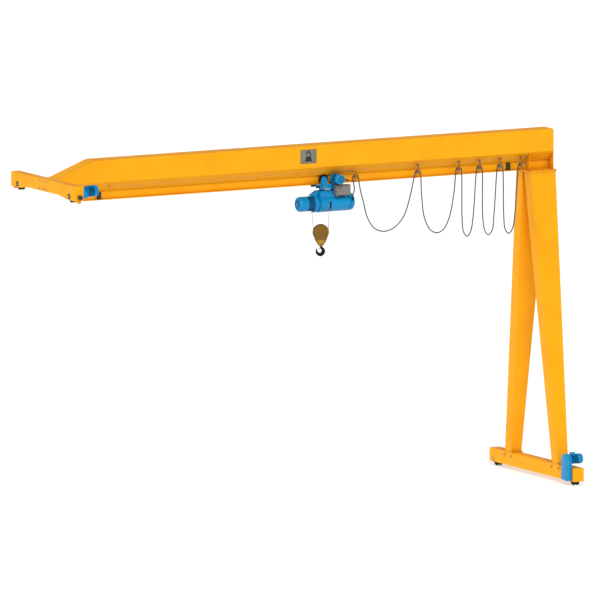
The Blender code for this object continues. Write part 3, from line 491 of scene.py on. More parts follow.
CABLE_ROUTE = [
    (7.350, -0.195, 6.4018), (7.352, -0.195, 6.44), (7.385, -0.200, 6.56),
    (7.360, -0.208, 6.72), *over_saddle(TOW_CLAMP_X),
    (7.515, FESTOON_Y, 6.60), (7.610, FESTOON_Y, 6.25), (7.700, FESTOON_Y, 5.935),
    (7.872, FESTOON_Y, 5.69), (8.108, FESTOON_Y, 5.607), (8.345, FESTOON_Y, 5.665),
    (8.577, FESTOON_Y, 5.88), (8.712, FESTOON_Y, 6.19), *over_saddle(CARRIER_X[0]),
    (9.035, FESTOON_Y, 6.35), (9.104, FESTOON_Y, 5.845), (9.245, FESTOON_Y, 5.575),
    (9.411, FESTOON_Y, 5.492), (9.578, FESTOON_Y, 5.56), (9.720, FESTOON_Y, 5.815),
    (9.830, FESTOON_Y, 6.32), *over_saddle(CARRIER_X[1]),
    (10.034, FESTOON_Y, 5.78), (10.073, FESTOON_Y, 5.462), (10.155, FESTOON_Y, 5.371),
    (10.242, FESTOON_Y, 5.462), (10.305, FESTOON_Y, 5.78), *over_saddle(CARRIER_X[2]),
    (10.544, FESTOON_Y, 5.78), (10.597, FESTOON_Y, 5.46), (10.687, FESTOON_Y, 5.366),
    (10.777, FESTOON_Y, 5.46), (10.820, FESTOON_Y, 5.78), *over_saddle(CARRIER_X[3]),
    (11.062, FESTOON_Y, 5.78), (11.100, FESTOON_Y, 5.46), (11.188, FESTOON_Y, 5.366),
    (11.278, FESTOON_Y, 5.46), (11.337, FESTOON_Y, 5.78), *over_saddle(FIXED_CLAMP_X)[:3],
    (11.555, -0.188, 6.882), (11.61, -0.171, 6.870), (11.6490, -0.17, 6.87),
]
CLAMPS = (TOW_CLAMP_X, *CARRIER_X, FIXED_CLAMP_X)
CLAMP_SHARE = (0.0, 0.28, 0.58, 0.72, 0.86, 1.0)     # how far each stays behind the trolley
ROPE_DIAMETER = 0.015
ROPE_LAY = 0.11              # length over which the strands wind round once
ANCHOR = (6.424, -0.060, 6.105)
DRUM_EXIT = (6.805, -0.1555, 6.29)
BLOCK = (6.6135, -0.1075, 5.672)
SHEAVE_PITCH = 0.163
BLOCK_TURN = math.atan2(DRUM_EXIT[1] - ANCHOR[1], DRUM_EXIT[0] - ANCHOR[0])
BLOCK_PLACE = Matrix.Translation(at(*BLOCK)) @ Matrix.Rotation(BLOCK_TURN, 4, "Z")


def smooth_path(points, steps):
    """Centripetal Catmull-Rom curve through the points, `steps` pieces between each two."""
    points = [Vector(p) for p in points]
    padded = [2 * points[0] - points[1], *points, 2 * points[-1] - points[-2]]
    path = []
    for a, b, c, d in zip(padded, padded[1:], padded[2:], padded[3:]):
        before, here, after = ((q - p).length ** 0.5 for p, q in ((a, b), (b, c), (c, d)))
        leave = (c - b) + here * ((b - a) / before - (c - a) / (before + here))
        arrive = (c - b) + here * ((d - c) / after - (d - b) / (here + after))
        for step in range(steps):
            t = step / steps
            path.append((2 * t ** 3 - 3 * t ** 2 + 1) * b + (t ** 3 - 2 * t ** 2 + t) * leave
                        + (3 * t ** 2 - 2 * t ** 3) * c + (t ** 3 - t ** 2) * arrive)
    path.append(points[-1])
    return path


def add_tube(builder, path, section, twist=0.0):
    """Sweep a section of (a, b) points along a path, turned by `twist` per metre."""
    side = Vector((0, 1, 0))
    walked, rings = 0.0, []
    for index, spot in enumerate(path):
        before, after = path[max(index - 1, 0)], path[min(index + 1, len(path) - 1)]
        along = (after - before).normalized()
        side = (side - along * side.dot(along)).normalized()
        other = along.cross(side)
        walked += (spot - before).length
        sin, cos = math.sin(twist * walked), math.cos(twist * walked)
        rings.append([builder.verts.new(spot + side * (a * cos - b * sin) + other * (a * sin + b * cos))
                      for a, b in section])
    skin(builder, rings)


def make_festoon_cable():
    path = smooth_path([at(*p) for p in CABLE_ROUTE], 10)
    builder = bmesh.new()
    add_tube(builder, path, circle(CABLE_DIAMETER / 2, 12))
    cable = link_mesh(builder, "festoon_lead", material("cable"), 60)
    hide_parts("festoon_cable")
    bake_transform(cable, "trolley", "crane_frame", tuple(at(CLAMPS[0], 0, 0)), tuple(at(CLAMPS[-1], 0, 0)))
    weights = cable.data.attributes["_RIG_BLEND"].data
    for vertex, weight in zip(cable.data.vertices, weights):
        weight.value = clamp_share(vertex.co.x - RAIL_X)


def clamp_share(x):
    """0 with the trolley, 1 with the frame; level over each saddle, sliding between them."""
    half = 0.075
    if x <= CLAMPS[0] + half:
        return CLAMP_SHARE[0]
    for left, right, low, high in zip(CLAMPS, CLAMPS[1:], CLAMP_SHARE, CLAMP_SHARE[1:]):
        if x <= right + half:
            t = min(max((x - left - half) / (right - left - 2 * half), 0.0), 1.0)
            return low + (high - low) * t
    return 1.0


def make_hoist_rope():
    half_turn = [BLOCK_PLACE @ Vector((x, 0, z)) for x, z in arc((0, 0), SHEAVE_PITCH, 180, 360, 90)]
    left, right = at(*ANCHOR), at(*DRUM_EXIT)
    steps = 120
    down = [left.lerp(half_turn[0], i / steps) for i in range(steps)]
    up = [half_turn[-1].lerp(right, (i + 1) / steps) for i in range(steps)]
    path = down + half_turn + up
    strands = []                 # six rounded strands in one section
    for i, (a, b) in enumerate(circle(ROPE_DIAMETER / 2, 36)):
        swell = 0.90 + 0.10 * math.cos(2 * math.pi * i / 6)
        strands.append((a * swell, b * swell))
    builder = bmesh.new()
    add_tube(builder, path, strands, twist=2 * math.pi / ROPE_LAY)
    rope = link_mesh(builder, "wire_rope", material("rope_steel"), 60)
    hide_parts("hoist_rope")
    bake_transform(rope, "trolley", "hook_block", (left.x, left.y, 6.10), (left.x, left.y, BLOCK[2] + 0.02))


# ------------------------------------------------------- steelwork and finish
HANGERS = ["tow_arm", "festoon_end_clamp", *(f"festoon_carrier_{i}" for i in range(1, 5))]
WHEEL_PARTS = ("rail_sweeper", "trolley_plate", "ground_wheel", "runway_wheel", "ground_axle", "runway_axle")
EASED = {       # width of the eased edges: the nodes that have them
    0.0008: HANGERS,
    0.002: ["girder_end_plate", "girder_seat", "leg_top_flange",
            *(f"{part}_{side}" for side in ("near", "far") for part in WHEEL_PARTS)],
    0.003: ["track_beam", "runway_buffer_near", "runway_buffer_far"],
    0.004: ["girder_box"],
    0.005: ["leg_near", "leg_far", "ground_beam", "runway_carriage"],
}
BEVELS = {node: width for width, nodes in EASED.items() for node in nodes}
REPAINT = dict.fromkeys(HANGERS, "carrier_bronze")


def dress_nodes():
    """Give every CAD node its slot's material and ease the edges of the plain ones."""
    slots = {entry["node"]: entry["material_slot"] for entry in frame["record"]["subparts"]}
    for name, node in NODES.items():
        paint = material(REPAINT.get(name, slots[name]))
        if node.material_slots:
            for slot in node.material_slots:
                slot.material = paint
        else:
            node.data.materials.append(paint)
        if name in BEVELS:
            ease = node.modifiers.new("eased_edges", "BEVEL")
            ease.width = BEVELS[name]
            ease.segments = 2
            ease.limit_method = "ANGLE"
            ease.angle_limit = math.radians(40)


GIRDER_LOW, GIRDER_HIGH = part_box("girder_box")
BEAM_LOW, BEAM_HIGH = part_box("ground_beam")
CARRIAGE_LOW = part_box("runway_carriage")[0]
SEAT_LOW, SEAT_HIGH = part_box("girder_seat")
MATE_LOW, MATE_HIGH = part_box("leg_top_flange")
FOOT_Y = 1.05                # where the legs stand on the ground beam


def make_welds():
    """Fillet beads where the girder's plates, seat and legs are welded."""
    builder = bmesh.new()
    for side in (-1, 1):
        keel = side * 0.0615
        bead = [(keel, GIRDER_LOW.z - 0.001), (keel + side * 0.007, GIRDER_LOW.z + 0.006),
                (keel - side * 0.002, GIRDER_LOW.z - 0.009)]
        add_prism(builder, bead, "X", GIRDER_LOW.x + 0.02, GIRDER_HIGH.x - 0.01)
    finish_piece(builder, "girder_keel_welds", "crane_frame", "crane_yellow")

    builder = bmesh.new()
    top = MATE_LOW.z - 0.0005
    for node, side in (("leg_near", -1), ("leg_far", 1)):
        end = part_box(node)[1].x
        inner, outer = side * 0.03, side * 0.31
        add_prism(builder, [(end - 0.001, top), (end + 0.007, top), (end - 0.001, top - 0.008)], "Y",
                  *sorted((inner, outer)))
        add_prism(builder, [(outer, top), (side * 0.318, top), (side * 0.3105, top - 0.008)],
                  "X", at(11.66).x, end)
    finish_piece(builder, "leg_head_welds", "crane_frame", "crane_yellow")


def make_structure_bolts():
    spots = []
    first, last = SEAT_LOW.x + 0.035, SEAT_HIGH.x - 0.035
    for side in (-1, 1):
        for step in range(5):
            x = first + (last - first) * step / 4
            spots.append((Vector((x, side * 0.285, MATE_HIGH.z + 0.0155)), (0, 0, 1)))
    bolts("seat_flange_bolts", "crane_frame", spots, 0.020)
    under = [(Vector((p.x, math.copysign(0.320, p.y), MATE_LOW.z)), (0, 0, -1)) for p, _ in spots]
    bolts("seat_flange_nuts", "crane_frame", under, 0.012)

    feet = [(Vector((middle("ground_beam").x + x, side * FOOT_Y + y, BEAM_HIGH.z + 0.0165)), (0, 0, 1))
            for side in (-1, 1) for x in (-0.112, 0.112) for y in (-0.168, 0.168)]
    bolts("leg_foot_bolts", "crane_frame", feet, 0.018)

    lugs = bmesh.new()
    spots = []
    face = BEAM_LOW.x - 0.0125
    half, low, shoulder, tip = 0.030, BEAM_HIGH.z - 0.11, BEAM_HIGH.z + 0.05, BEAM_HIGH.z + 0.085
    for side in (-1, 1):
        for y in (-0.155, 0.155):
            y += side * FOOT_Y
            outline = [(y - half, low), (y + half, low), (y + half, shoulder), (y, tip), (y - half, shoulder)]
            add_prism(lugs, outline, "X", face, face + 0.012, 0.002)
            spots += [(Vector((face, y, BEAM_HIGH.z + z)), (-1, 0, 0)) for z in (-0.07, 0.035)]
    finish_piece(lugs, "leg_foot_lugs", "crane_frame", "crane_yellow")
    bolts("leg_lug_bolts", "crane_frame", spots, 0.020)

    nose = [(Vector((CARRIAGE_LOW.x, y, z)), (-1, 0, 0))
            for y in (-0.165, -0.055, 0.055, 0.165) for z in (7.19, 7.03)]
    bolts("carriage_joint_bolts", "crane_frame", nose, 0.016)


CAPPED_WEBS = {"ground_axle_far": (-1, 1), "runway_axle_near": (-1,), "runway_axle_far": (-1, 1),
               "ground_axle_near": (1,)}


def make_wheel_caps():
    """Bearing caps and keeper bolts round each travel axle, on the webs that are free."""
    for name, sides in CAPPED_WEBS.items():
        on_ground = name.startswith("ground")
        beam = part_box("ground_beam" if on_ground else "runway_carriage")
        centre = middle(name)
        builder = bmesh.new()
        spots = []
        for out in sides:
            web = Vector(((beam[1] if out > 0 else beam[0]).x, centre.y, centre.z))
            ring = [(0.033, 0.0006), (0.058, 0.0006), (0.058, 0.005), (0.053, 0.009), (0.033, 0.009)]
            add_turned(builder, sided(ring, out), "X", web, 40)
            spots += [(web + Vector((0.009 * out, 0, 0)) + around(45 + 90 * i) * 0.046, (out, 0, 0))
                      for i in range(4)]
        finish_piece(builder, name.replace("axle", "bearing_cap"), "crane_frame", "crane_yellow",
                     paint="crane_yellow" if on_ground else "black_iron")
        bolts(name.replace("axle", "bearing_bolts"), "crane_frame", spots, 0.0075)


def make_capacity_sign():
    """Grey plate with a rolled rim, rivets and a plain hook-and-weight pictogram."""
    low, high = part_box("capacity_plate")
    centre = (low + high) / 2
    builder = bmesh.new()
    add_box(builder, (low.x, low.y + 0.001, low.z), high, 0.0008)
    rim = 0.012
    for x0, x1, z0, z1 in ((low.x, high.x, high.z - rim, high.z), (low.x, high.x, low.z, low.z + rim),
                           (low.x, low.x + rim, low.z, high.z), (high.x - rim, high.x, low.z, high.z)):
        add_box(builder, (x0, low.y - 0.003, z0), (x1, low.y + 0.0015, z1), 0.001)
    finish_piece(builder, "capacity_sign", "crane_frame", "plate_grey", ["capacity_plate"])

    back = low.y + 0.0004
    front = back - 0.003
    mark = bmesh.new()
    weight = [(-0.085, -0.105), (0.085, -0.105), (0.058, 0.0), (-0.058, 0.0)]
    add_prism(mark, [(centre.x + a, centre.z + b) for a, b in weight], "Y", front, back, 0.0006)
    ring = (centre.x, centre.z + 0.052)
    add_prism(mark, arc(ring, 0.058, -60, 200, 22) + arc(ring, 0.033, 200, -60, 22), "Y", front, back)
    add_box(mark, (centre.x - 0.013, front, centre.z + 0.095), (centre.x + 0.013, back, centre.z + 0.128))
    finish_piece(mark, "capacity_pictogram", "crane_frame", "plate_grey", paint="sign_black")

    rivets = bmesh.new()
    head = [(0, -0.005), (0.004, -0.0045), (0.007, -0.002), (0.0075, 0.0008), (0, 0.0008)]
    for x in (low.x + 0.025, high.x - 0.025):
        for z in (low.z + 0.025, high.z - 0.025):
            add_turned(rivets, head, "Y", Vector((x, low.y, z)), 16)
    finish_piece(rivets, "capacity_rivets", "crane_frame", "steel", paint="bolt_steel")


def make_trolley_stops():
    """Ribbed rubber stops bolted to the track's web."""
    ribs = 5
    for end in ("left", "right"):
        low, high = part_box(f"trolley_stop_{end}")
        builder = bmesh.new()
        add_box(builder, low, (high.x, high.y, low.z + 0.014), 0.003)
        tall = (high.z - low.z - 0.016) / ribs
        for i in range(ribs):
            z = low.z + 0.0155 + i * tall
            tuck = 0.004 if i % 2 else 0.0
            add_box(builder, (low.x + 0.003 + tuck, low.y + 0.002 + tuck, z - 0.001),
                    (high.x - 0.003 - tuck, high.y - 0.001, z + tall), 0.003)
        finish_piece(builder, f"rubber_stop_{end}", "crane_frame", "rubber", [f"trolley_stop_{end}"])


# --------------------------------------------------------------------- drives
def fin_ring(builder, axis, centre, inner, outer, low, high, count, thick=0.0028):
    """Cooling fins standing out of a barrel, along its length, thinner at their crests."""
    turn = AXIS_TURN[axis]
    widths = ((inner, 1.0), (outer - 0.002, 0.85), (outer, 0.35))
    for a, b in circle(1.0, count):
        out, across = Vector((a, b, 0)), Vector((-b, a, 0)) * thick
        outline = [out * r - across * w for r, w in widths]
        outline += [out * r + across * w for r, w in widths[::-1]]
        skin(builder, [[builder.verts.new(centre + (turn @ (spot + Vector((0, 0, level)))))
                        for spot in outline] for level in (low, high)])


def make_motor(name, body, node, axis, radius, terminals=False):
    """A finned drive motor: end flange, ribbed barrel, fan cowl with a grille, terminal box."""
    low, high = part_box(node)
    index = "XYZ".index(axis)
    outward = -1 if axis == "Y" else 1
    length = high[index] - low[index]
    base = (low + high) / 2
    base[index] = low[index] if outward > 0 else high[index]

    builder = bmesh.new()
    core, barrel = radius * 0.80, length * 0.64
    flange = [(0, 0), (radius * 0.90, 0), (radius * 0.92, 0.003), (radius * 0.92, 0.016),
              (radius * 0.88, 0.020), (core, 0.024), (core, barrel), (0, barrel)]
    add_turned(builder, sided(flange, outward), axis, base, 56)
    cowl = [(0, length * 0.63), (radius * 0.97, length * 0.63), (radius, length * 0.645),
            (radius, length - 0.035), (radius * 0.985, length - 0.020), (radius * 0.93, length - 0.007),
            (radius * 0.84, length - 0.0015), (core, length), (radius * 0.78, length - 0.002),
            (0, length - 0.002)]
    add_turned(builder, sided(cowl, outward), axis, base, 56)
    fin_ring(builder, axis, base, core - 0.002, radius * 0.955,
             *sorted((0.024 * outward, length * 0.63 * outward)), 44)
    finish_piece(builder, name, body, "hoist_blue", [node])

    grille = bmesh.new()
    face, back = length - 0.0002, length - 0.0025
    for r in (radius * 0.18, radius * 0.34, radius * 0.50, radius * 0.66):
        ring = [(r, back), (r + 0.005, back), (r + 0.005, face), (r, face)]
        add_turned(grille, sided(ring, outward), axis, base, 40)
    finish_piece(grille, f"{name}_grille", body, "hoist_blue", paint="black_iron")

    if terminals:
        case = bmesh.new()
        spot = base + Vector((length * 0.34, 0, radius * 0.86 + 0.020))
        half = Vector((length * 0.15, 0.042, 0.026))
        add_box(case, spot - half, spot + half, 0.006)
        spot.z += 0.024
        half = Vector((half.x * 1.07, half.y * 1.07, 0.006))
        add_box(case, spot - half, spot + half, 0.003)
        finish_piece(case, f"{name}_terminal_box", body, "hoist_blue")


def scaled(outline, centre, across, up):
    """An outline shrunk about a centre."""
    return [(centre[0] + (a - centre[0]) * across, centre[1] + (b - centre[1]) * up) for a, b in outline]


def make_drives():
    make_motor("ground_travel_motor", "crane_frame", "ground_drive_motor", "X", 0.110, terminals=True)
    make_motor("runway_travel_motor", "crane_frame", "runway_drive_motor", "X", 0.125)
    make_motor("trolley_travel_motor", "trolley", "trolley_motor", "Y", 0.105)

    low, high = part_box("ground_drive_reducer")
    centre = ((low.y + high.y) / 2, (low.z + high.z) / 2)
    turn = 0.15
    outline = [(low.y + 0.01, low.z), (high.y - 0.01, low.z), (high.y, low.z + 0.01), (high.y, high.z - turn),
               *arc((high.y - turn, high.z - turn), turn, 0, 90, 14)[1:],
               *arc((low.y + turn, high.z - turn), turn, 90, 180, 14), (low.y, low.z + 0.01)]
    builder = bmesh.new()
    split = low.x + 0.046
    add_prism(builder, outline, "X", low.x + 0.004, split - 0.001, 0.004)
    add_prism(builder, outline, "X", split + 0.001, high.x, 0.003)
    add_prism(builder, scaled(outline, centre, 0.96, 0.975), "X", split - 0.004, split + 0.004)
    for y, z, r in ((-1.665, 0.17, 0.085), (-1.665, 0.39, 0.060), (-1.62, 0.592, 0.075)):
        boss = [(0, -0.010), (r * 0.55, -0.010), (r * 0.6, -0.004), (r * 0.92, -0.004), (r, 0.001),
                (r, 0.010), (0, 0.010)]
        add_turned(builder, boss, "X", Vector((low.x + 0.010, y, z)), 40)
    finish_piece(builder, "ground_gearcase", "crane_frame", "hoist_blue", ["ground_drive_reducer"])
    spots = [(y, z) for z in (0.16, 0.34, 0.50) for y in (low.y + 0.018, high.y - 0.018)]
    spots += [(y, high.z - 0.022) for y in (-1.70, -1.57)]
    bolts("ground_gearcase_bolts", "crane_frame",
          [(Vector((low.x + 0.004, y, z)), (-1, 0, 0)) for y, z in spots], 0.009)

    low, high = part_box("runway_drive_reducer")
    half = (high.y - low.y) / 2
    centre = (low.y + half, high.z - half)
    outline = [(low.y, low.z), (high.y, low.z)] + arc(centre, half, 0, 180, 20)
    builder = bmesh.new()
    add_prism(builder, outline, "X", low.x, low.x + 0.09, 0.004)
    add_prism(builder, scaled(outline, centre, 0.9, 0.9), "X", low.x + 0.088, high.x, 0.005)
    finish_piece(builder, "runway_gearcase", "crane_frame", "hoist_blue", ["runway_drive_reducer"])


# ---------------------------------------------------------------------- hoist
HOIST_Z = 6.29
WHEEL_X = (6.70, 6.98)
HANGER_Z = 6.645
HOIST_AXIS = at(0, 0, HOIST_Z)       # the layout's origin of X, raised to the drum's axis
WHEEL_Z = middle("trolley_wheel_near_left").z


def ring_of_bolts(name, centre, axis, radius, angles, normal, size):
    """The trolley's bolts on a circle about `axis`, all standing along the same normal."""
    turn = AXIS_TURN[axis]
    bolts(name, "trolley", [(centre + (turn @ Vector((x, y, 0))), normal) for x, y in
                            (arc((0, 0), radius, degrees, degrees, 1)[0] for degrees in angles)], size)


def add_shell(builder, centre, outer, inner, stations, band, low_angle, high_angle, count=96):
    """Add a tube along X with a window in one band, from low_angle to high_angle."""
    def ring(radius, x):
        return [builder.verts.new(centre + Vector((x, 0, 0)) + around(360 * i / count) * radius)
                for i in range(count)]

    skins = [(ring(outer, x), ring(inner, x)) for x in stations]
    is_open = [low_angle <= 360 * (i + 0.5) / count <= high_angle for i in range(count)]
    for b, (left, right) in enumerate(zip(skins, skins[1:])):
        for i in range(count):
            j = (i + 1) % count
            if b == band and is_open[i]:
                for skins_end in (left, right):
                    builder.faces.new((skins_end[0][i], skins_end[0][j], skins_end[1][j], skins_end[1][i]))
                for edge, other in ((i, i - 1), (j, j)):
                    if not is_open[other]:
                        builder.faces.new((left[0][edge], right[0][edge], right[1][edge], left[1][edge]))
                continue
            for k in (0, 1):
                builder.faces.new((left[k][i], left[k][j], right[k][j], right[k][i]))
    for outer_ring, inner_ring in (skins[0], skins[-1]):
        for i in range(count):
            builder.faces.new((outer_ring[i - 1], outer_ring[i], inner_ring[i], inner_ring[i - 1]))


def add_ribs(builder, outline, angles, half):
    """Radial plates on the hoist's axis, each an outline of (x, radius) and twice `half` thick."""
    for degrees in angles:
        add_slab(builder, [HOIST_AXIS + around(degrees) * r + Vector((x, 0, 0)) for x, r in outline],
                 around(degrees + 90) * half)


def make_hoist_motor():
    """Barrel with fine fins between a bolted flange and a domed fan cowl."""
    brake = bmesh.new()
    barrel = [(0, 6.4627), (0.1635, 6.4627), (0.165, 6.461), (0.165, 6.4415), (0.164, 6.440),
              (0.1520, 6.440), (0.1520, 6.3102), (0, 6.3102)]
    add_turned(brake, barrel, "X", HOIST_AXIS, 80)
    fin_ring(brake, "X", HOIST_AXIS, 0.1500, 0.1610, 6.322, 6.424, 48, 0.0030)
    # brake housing in the darker blue: painted shade between the motor and the casing
    finish_piece(brake, "motor_brake_housing", "trolley", "hoist_blue", paint="painted_shade_blue")

    builder = bmesh.new()
    cowl = [(0, 6.310), (0.158, 6.310), (0.1625, 6.306), (0.163, 6.300), (0.163, 6.150), (0.1615, 6.137),
            (0.156, 6.123), (0.147, 6.111), (0.134, 6.1025), (0.118, 6.0970), (0.112, 6.0960),
            (0.109, 6.0980), (0.0, 6.0980)]
    add_turned(builder, cowl, "X", HOIST_AXIS, 80)
    hub = [(0, 6.0990), (0.040, 6.0990), (0.040, 6.0925), (0.034, 6.0905), (0, 6.0903)]
    add_turned(builder, hub, "X", HOIST_AXIS, 48)
    for x in (6.195, 6.250):
        band = [(0.1620, x - 0.004), (0.1642, x - 0.003), (0.1642, x + 0.003), (0.1620, x + 0.004)]
        add_turned(builder, band, "X", HOIST_AXIS, 80)
    spoke = [(6.0920, 0.036), (6.0920, 0.112), (6.0985, 0.112), (6.0985, 0.036)]
    add_ribs(builder, spoke, [22.5 + 45 * i for i in range(8)], 0.004)
    finish_piece(builder, "lifting_motor", "trolley", "hoist_blue", ["hoist_motor"])

    grille = bmesh.new()
    for r in (0.052, 0.066, 0.080, 0.094):
        ring = [(r, 6.0983), (r + 0.004, 6.0983), (r + 0.004, 6.0950), (r, 6.0950)]
        add_turned(grille, ring, "X", HOIST_AXIS, 56)
    # grille rings in the darker blue: painted shade inside the fan cowl
    finish_piece(grille, "lifting_motor_grille", "trolley", "hoist_blue", paint="painted_shade_blue")
    ring_of_bolts("lifting_motor_bolts", at(6.440, 0, HOIST_Z), "X", 0.1565,
                  range(15, 375, 30), (-1, 0, 0), 0.0052)


def make_coupling():
    """Coupling housing under its shoulder, with the flange bolted to the drum's casing."""
    builder = bmesh.new()
    profile = [(0, 6.4634), (0.1705, 6.4634), (0.172, 6.465), (0.172, 6.474), (0.1855, 6.4835),
               (0.187, 6.486), (0.187, 6.538), (0.184, 6.545), (0.1765, 6.549), (0.1765, 6.568),
               (0.195, 6.568), (0.1965, 6.5695), (0.1965, 6.5843), (0, 6.5843)]
    add_turned(builder, profile, "X", HOIST_AXIS, 80)
    rib = [(6.492, 0.184), (6.566, 0.174), (6.566, 0.1955), (6.500, 0.1895)]
    add_ribs(builder, rib, range(195, 346, 30), 0.004)
    left, right = at(6.467).x, at(6.5843).x
    tip, low, under, top = left - 0.0665, HOIST_Z + 0.02, HOIST_Z + 0.1665, 6.5595
    shoulder = [(left, low), (right, low), (right, top), (left + 0.078, top),
                (tip, under + 0.0115), (tip, under), (left, under)]
    add_prism(builder, shoulder, "Y", -0.0695, 0.0695, 0.004)
    anchor = at(*ANCHOR)
    start, root, low = anchor.x - 0.0155, left + 0.030, anchor.z + 0.0012
    bracket = [(start, low), (root, low), (root, 6.155), (left + 0.002, 6.155),
               (left - 0.006, 6.1240), (start, 6.1240)]
    add_prism(builder, bracket, "Y", anchor.y - 0.0175, anchor.y + 0.0175, 0.0025)
    finish_piece(builder, "coupling_case", "trolley", "hoist_blue", ["coupling_housing"])
    ring_of_bolts("coupling_bolts", at(6.568, 0, HOIST_Z), "X", 0.1858,
                  range(150, 391, 30), (-1, 0, 0), 0.0078)
    headed = both_ends([(0, 0.0225), (0.0085, 0.0225), (0.0085, 0.0195), (0.006, 0.0190)])
    turned_piece("rope_anchor_pin", "trolley", "steel", headed, "Y", anchor + Vector((0, 0, 0.0105)), 24)


def make_casing():
    """Drum casing with a rope window, end rings, seams, saddle and hanger lugs."""
    builder = bmesh.new()
    add_shell(builder, HOIST_AXIS, 0.1985, 0.192, [6.5853, 6.780, 6.830, 7.2797], 1, 168.0, 232.0)
    for x0, x1 in ((6.5853, 6.600), (7.262, 7.2797)):
        ring = [(0.193, x0), (0.1995, x0), (0.2005, x0 + 0.001), (0.2005, x1 - 0.001), (0.1995, x1),
                (0.193, x1)]
        add_turned(builder, ring, "X", HOIST_AXIS, 96)
    for x in (6.693, 7.052, 7.158):
        seam = [(0.1975, x - 0.006), (0.1995, x - 0.004), (0.2002, x), (0.1995, x + 0.004),
                (0.1975, x + 0.006)]
        add_turned(builder, seam, "X", HOIST_AXIS, 96)
    half, low, top, chamfer = 0.15, HOIST_Z + 0.136, 6.5598, 0.03
    section = [(-half, low), (half, low), (half, top - chamfer), (half - chamfer, top),
               (chamfer - half, top), (-half, top - chamfer)]
    add_prism(builder, section, "X", at(6.5862).x, at(7.03).x, 0.004)
    for x in WHEEL_X:
        x = at(x).x
        lug = [(x - 0.034, top - 0.012), (x + 0.034, top - 0.012), (x + 0.034, HANGER_Z),
               *arc((x, HANGER_Z), 0.034, 15, 165, 12), (x - 0.034, HANGER_Z)]
        bead = [(x - 0.040, top - 0.003), (x + 0.040, top - 0.003), (x + 0.035, top + 0.006),
                (x - 0.035, top + 0.006)]
        for y in (-0.06, 0.06):
            add_prism(builder, lug, "Y", y - 0.0115, y + 0.0115, 0.0015)
            add_prism(builder, bead, "Y", y - 0.017, y + 0.017, 0.003)
    finish_piece(builder, "drum_shell", "trolley", "hoist_blue", ["drum_casing"])

    guard = bmesh.new()
    middle_line = (0, HOIST_Z)
    trim = arc(middle_line, 0.2022, 164, 236, 12) + arc(middle_line, 0.1975, 236, 164, 12)
    for x in (6.772, 6.830):
        add_prism(guard, trim, "X", at(x).x, at(x).x + 0.008, 0.001)
    finish_piece(guard, "rope_window_trim", "trolley", "hoist_blue")

    turns, pitch, start = 36, 0.0172, 6.620
    profile = [(0, 6.592), (0.05, 6.592), (0.05, 6.600), (0.172, 6.600), (0.175, 6.602), (0.175, 6.610),
               (0.1475, 6.614)]
    for x in (start + i * pitch for i in range(turns)):
        profile += [(0.1468, x), (0.1450, x + pitch * 0.5), (0.1468, x + pitch * 0.95)]
    profile += [(0.1475, 7.246), (0.175, 7.250), (0.175, 7.258), (0.172, 7.260), (0.05, 7.260),
                (0.05, 7.272), (0, 7.272)]
    turned_piece("grooved_drum", "hoist_drum", "steel", profile, "X", HOIST_AXIS, 64, ["rope_drum"])


def make_gearbox():
    """Domed gearbox with a bolted joint, radial ribs, end bosses and a cable gland."""
    builder = bmesh.new()
    profile = [(0, 7.2805), (0.1915, 7.2805), (0.193, 7.282), (0.193, 7.296), (0.192, 7.297),
               (0.181, 7.298), (0.178, 7.301), (0.178, 7.316), (0.181, 7.319), (0.192, 7.320),
               (0.193, 7.321), (0.193, 7.372), (0.1915, 7.383), (0.187, 7.396), (0.179, 7.409),
               (0.166, 7.420), (0.148, 7.429), (0.125, 7.4345), (0.095, 7.438), (0.062, 7.4390),
               (0.060, 7.4435), (0.054, 7.4448), (0, 7.445)]
    add_turned(builder, profile, "X", HOIST_AXIS, 88)
    rib = [(7.319, 0.175), (7.299, 0.175), (7.299, 0.1905), (7.319, 0.1905)]
    add_ribs(builder, rib, [18 + 36 * i for i in range(10)], 0.0045)
    boss = [(0, 0), (0.013, 0), (0.013, 0.006), (0.011, 0.008), (0, 0.008)]
    for i in range(6):
        add_turned(builder, boss, "X", at(7.4325, 0, HOIST_Z) + around(30 + 60 * i) * 0.112, 20)
    finish_piece(builder, "gearbox_case", "trolley", "hoist_blue", ["hoist_gearbox"])
    ring_of_bolts("gearbox_bolts", at(7.320, 0, HOIST_Z), "X", 0.1855,
                  range(0, 360, 36), (-1, 0, 0), 0.0062)

    gland = bmesh.new()
    base = at(*CABLE_ROUTE[0][:2])
    dome = [(0, 6.384), (0.0155, 6.384), (0.0145, 6.394), (0.0120, 6.4008), (0, 6.4008)]
    for profile in (rod(0.0165, 6.318, 6.372), dome):
        add_turned(gland, profile, "Z", base, 32)
    add_prism(gland, hexagon(base.x, base.y, 0.0178), "Z", 6.370, 6.386, 0.0012)
    finish_piece(gland, "lead_gland", "trolley", "hoist_blue", paint="black_iron")


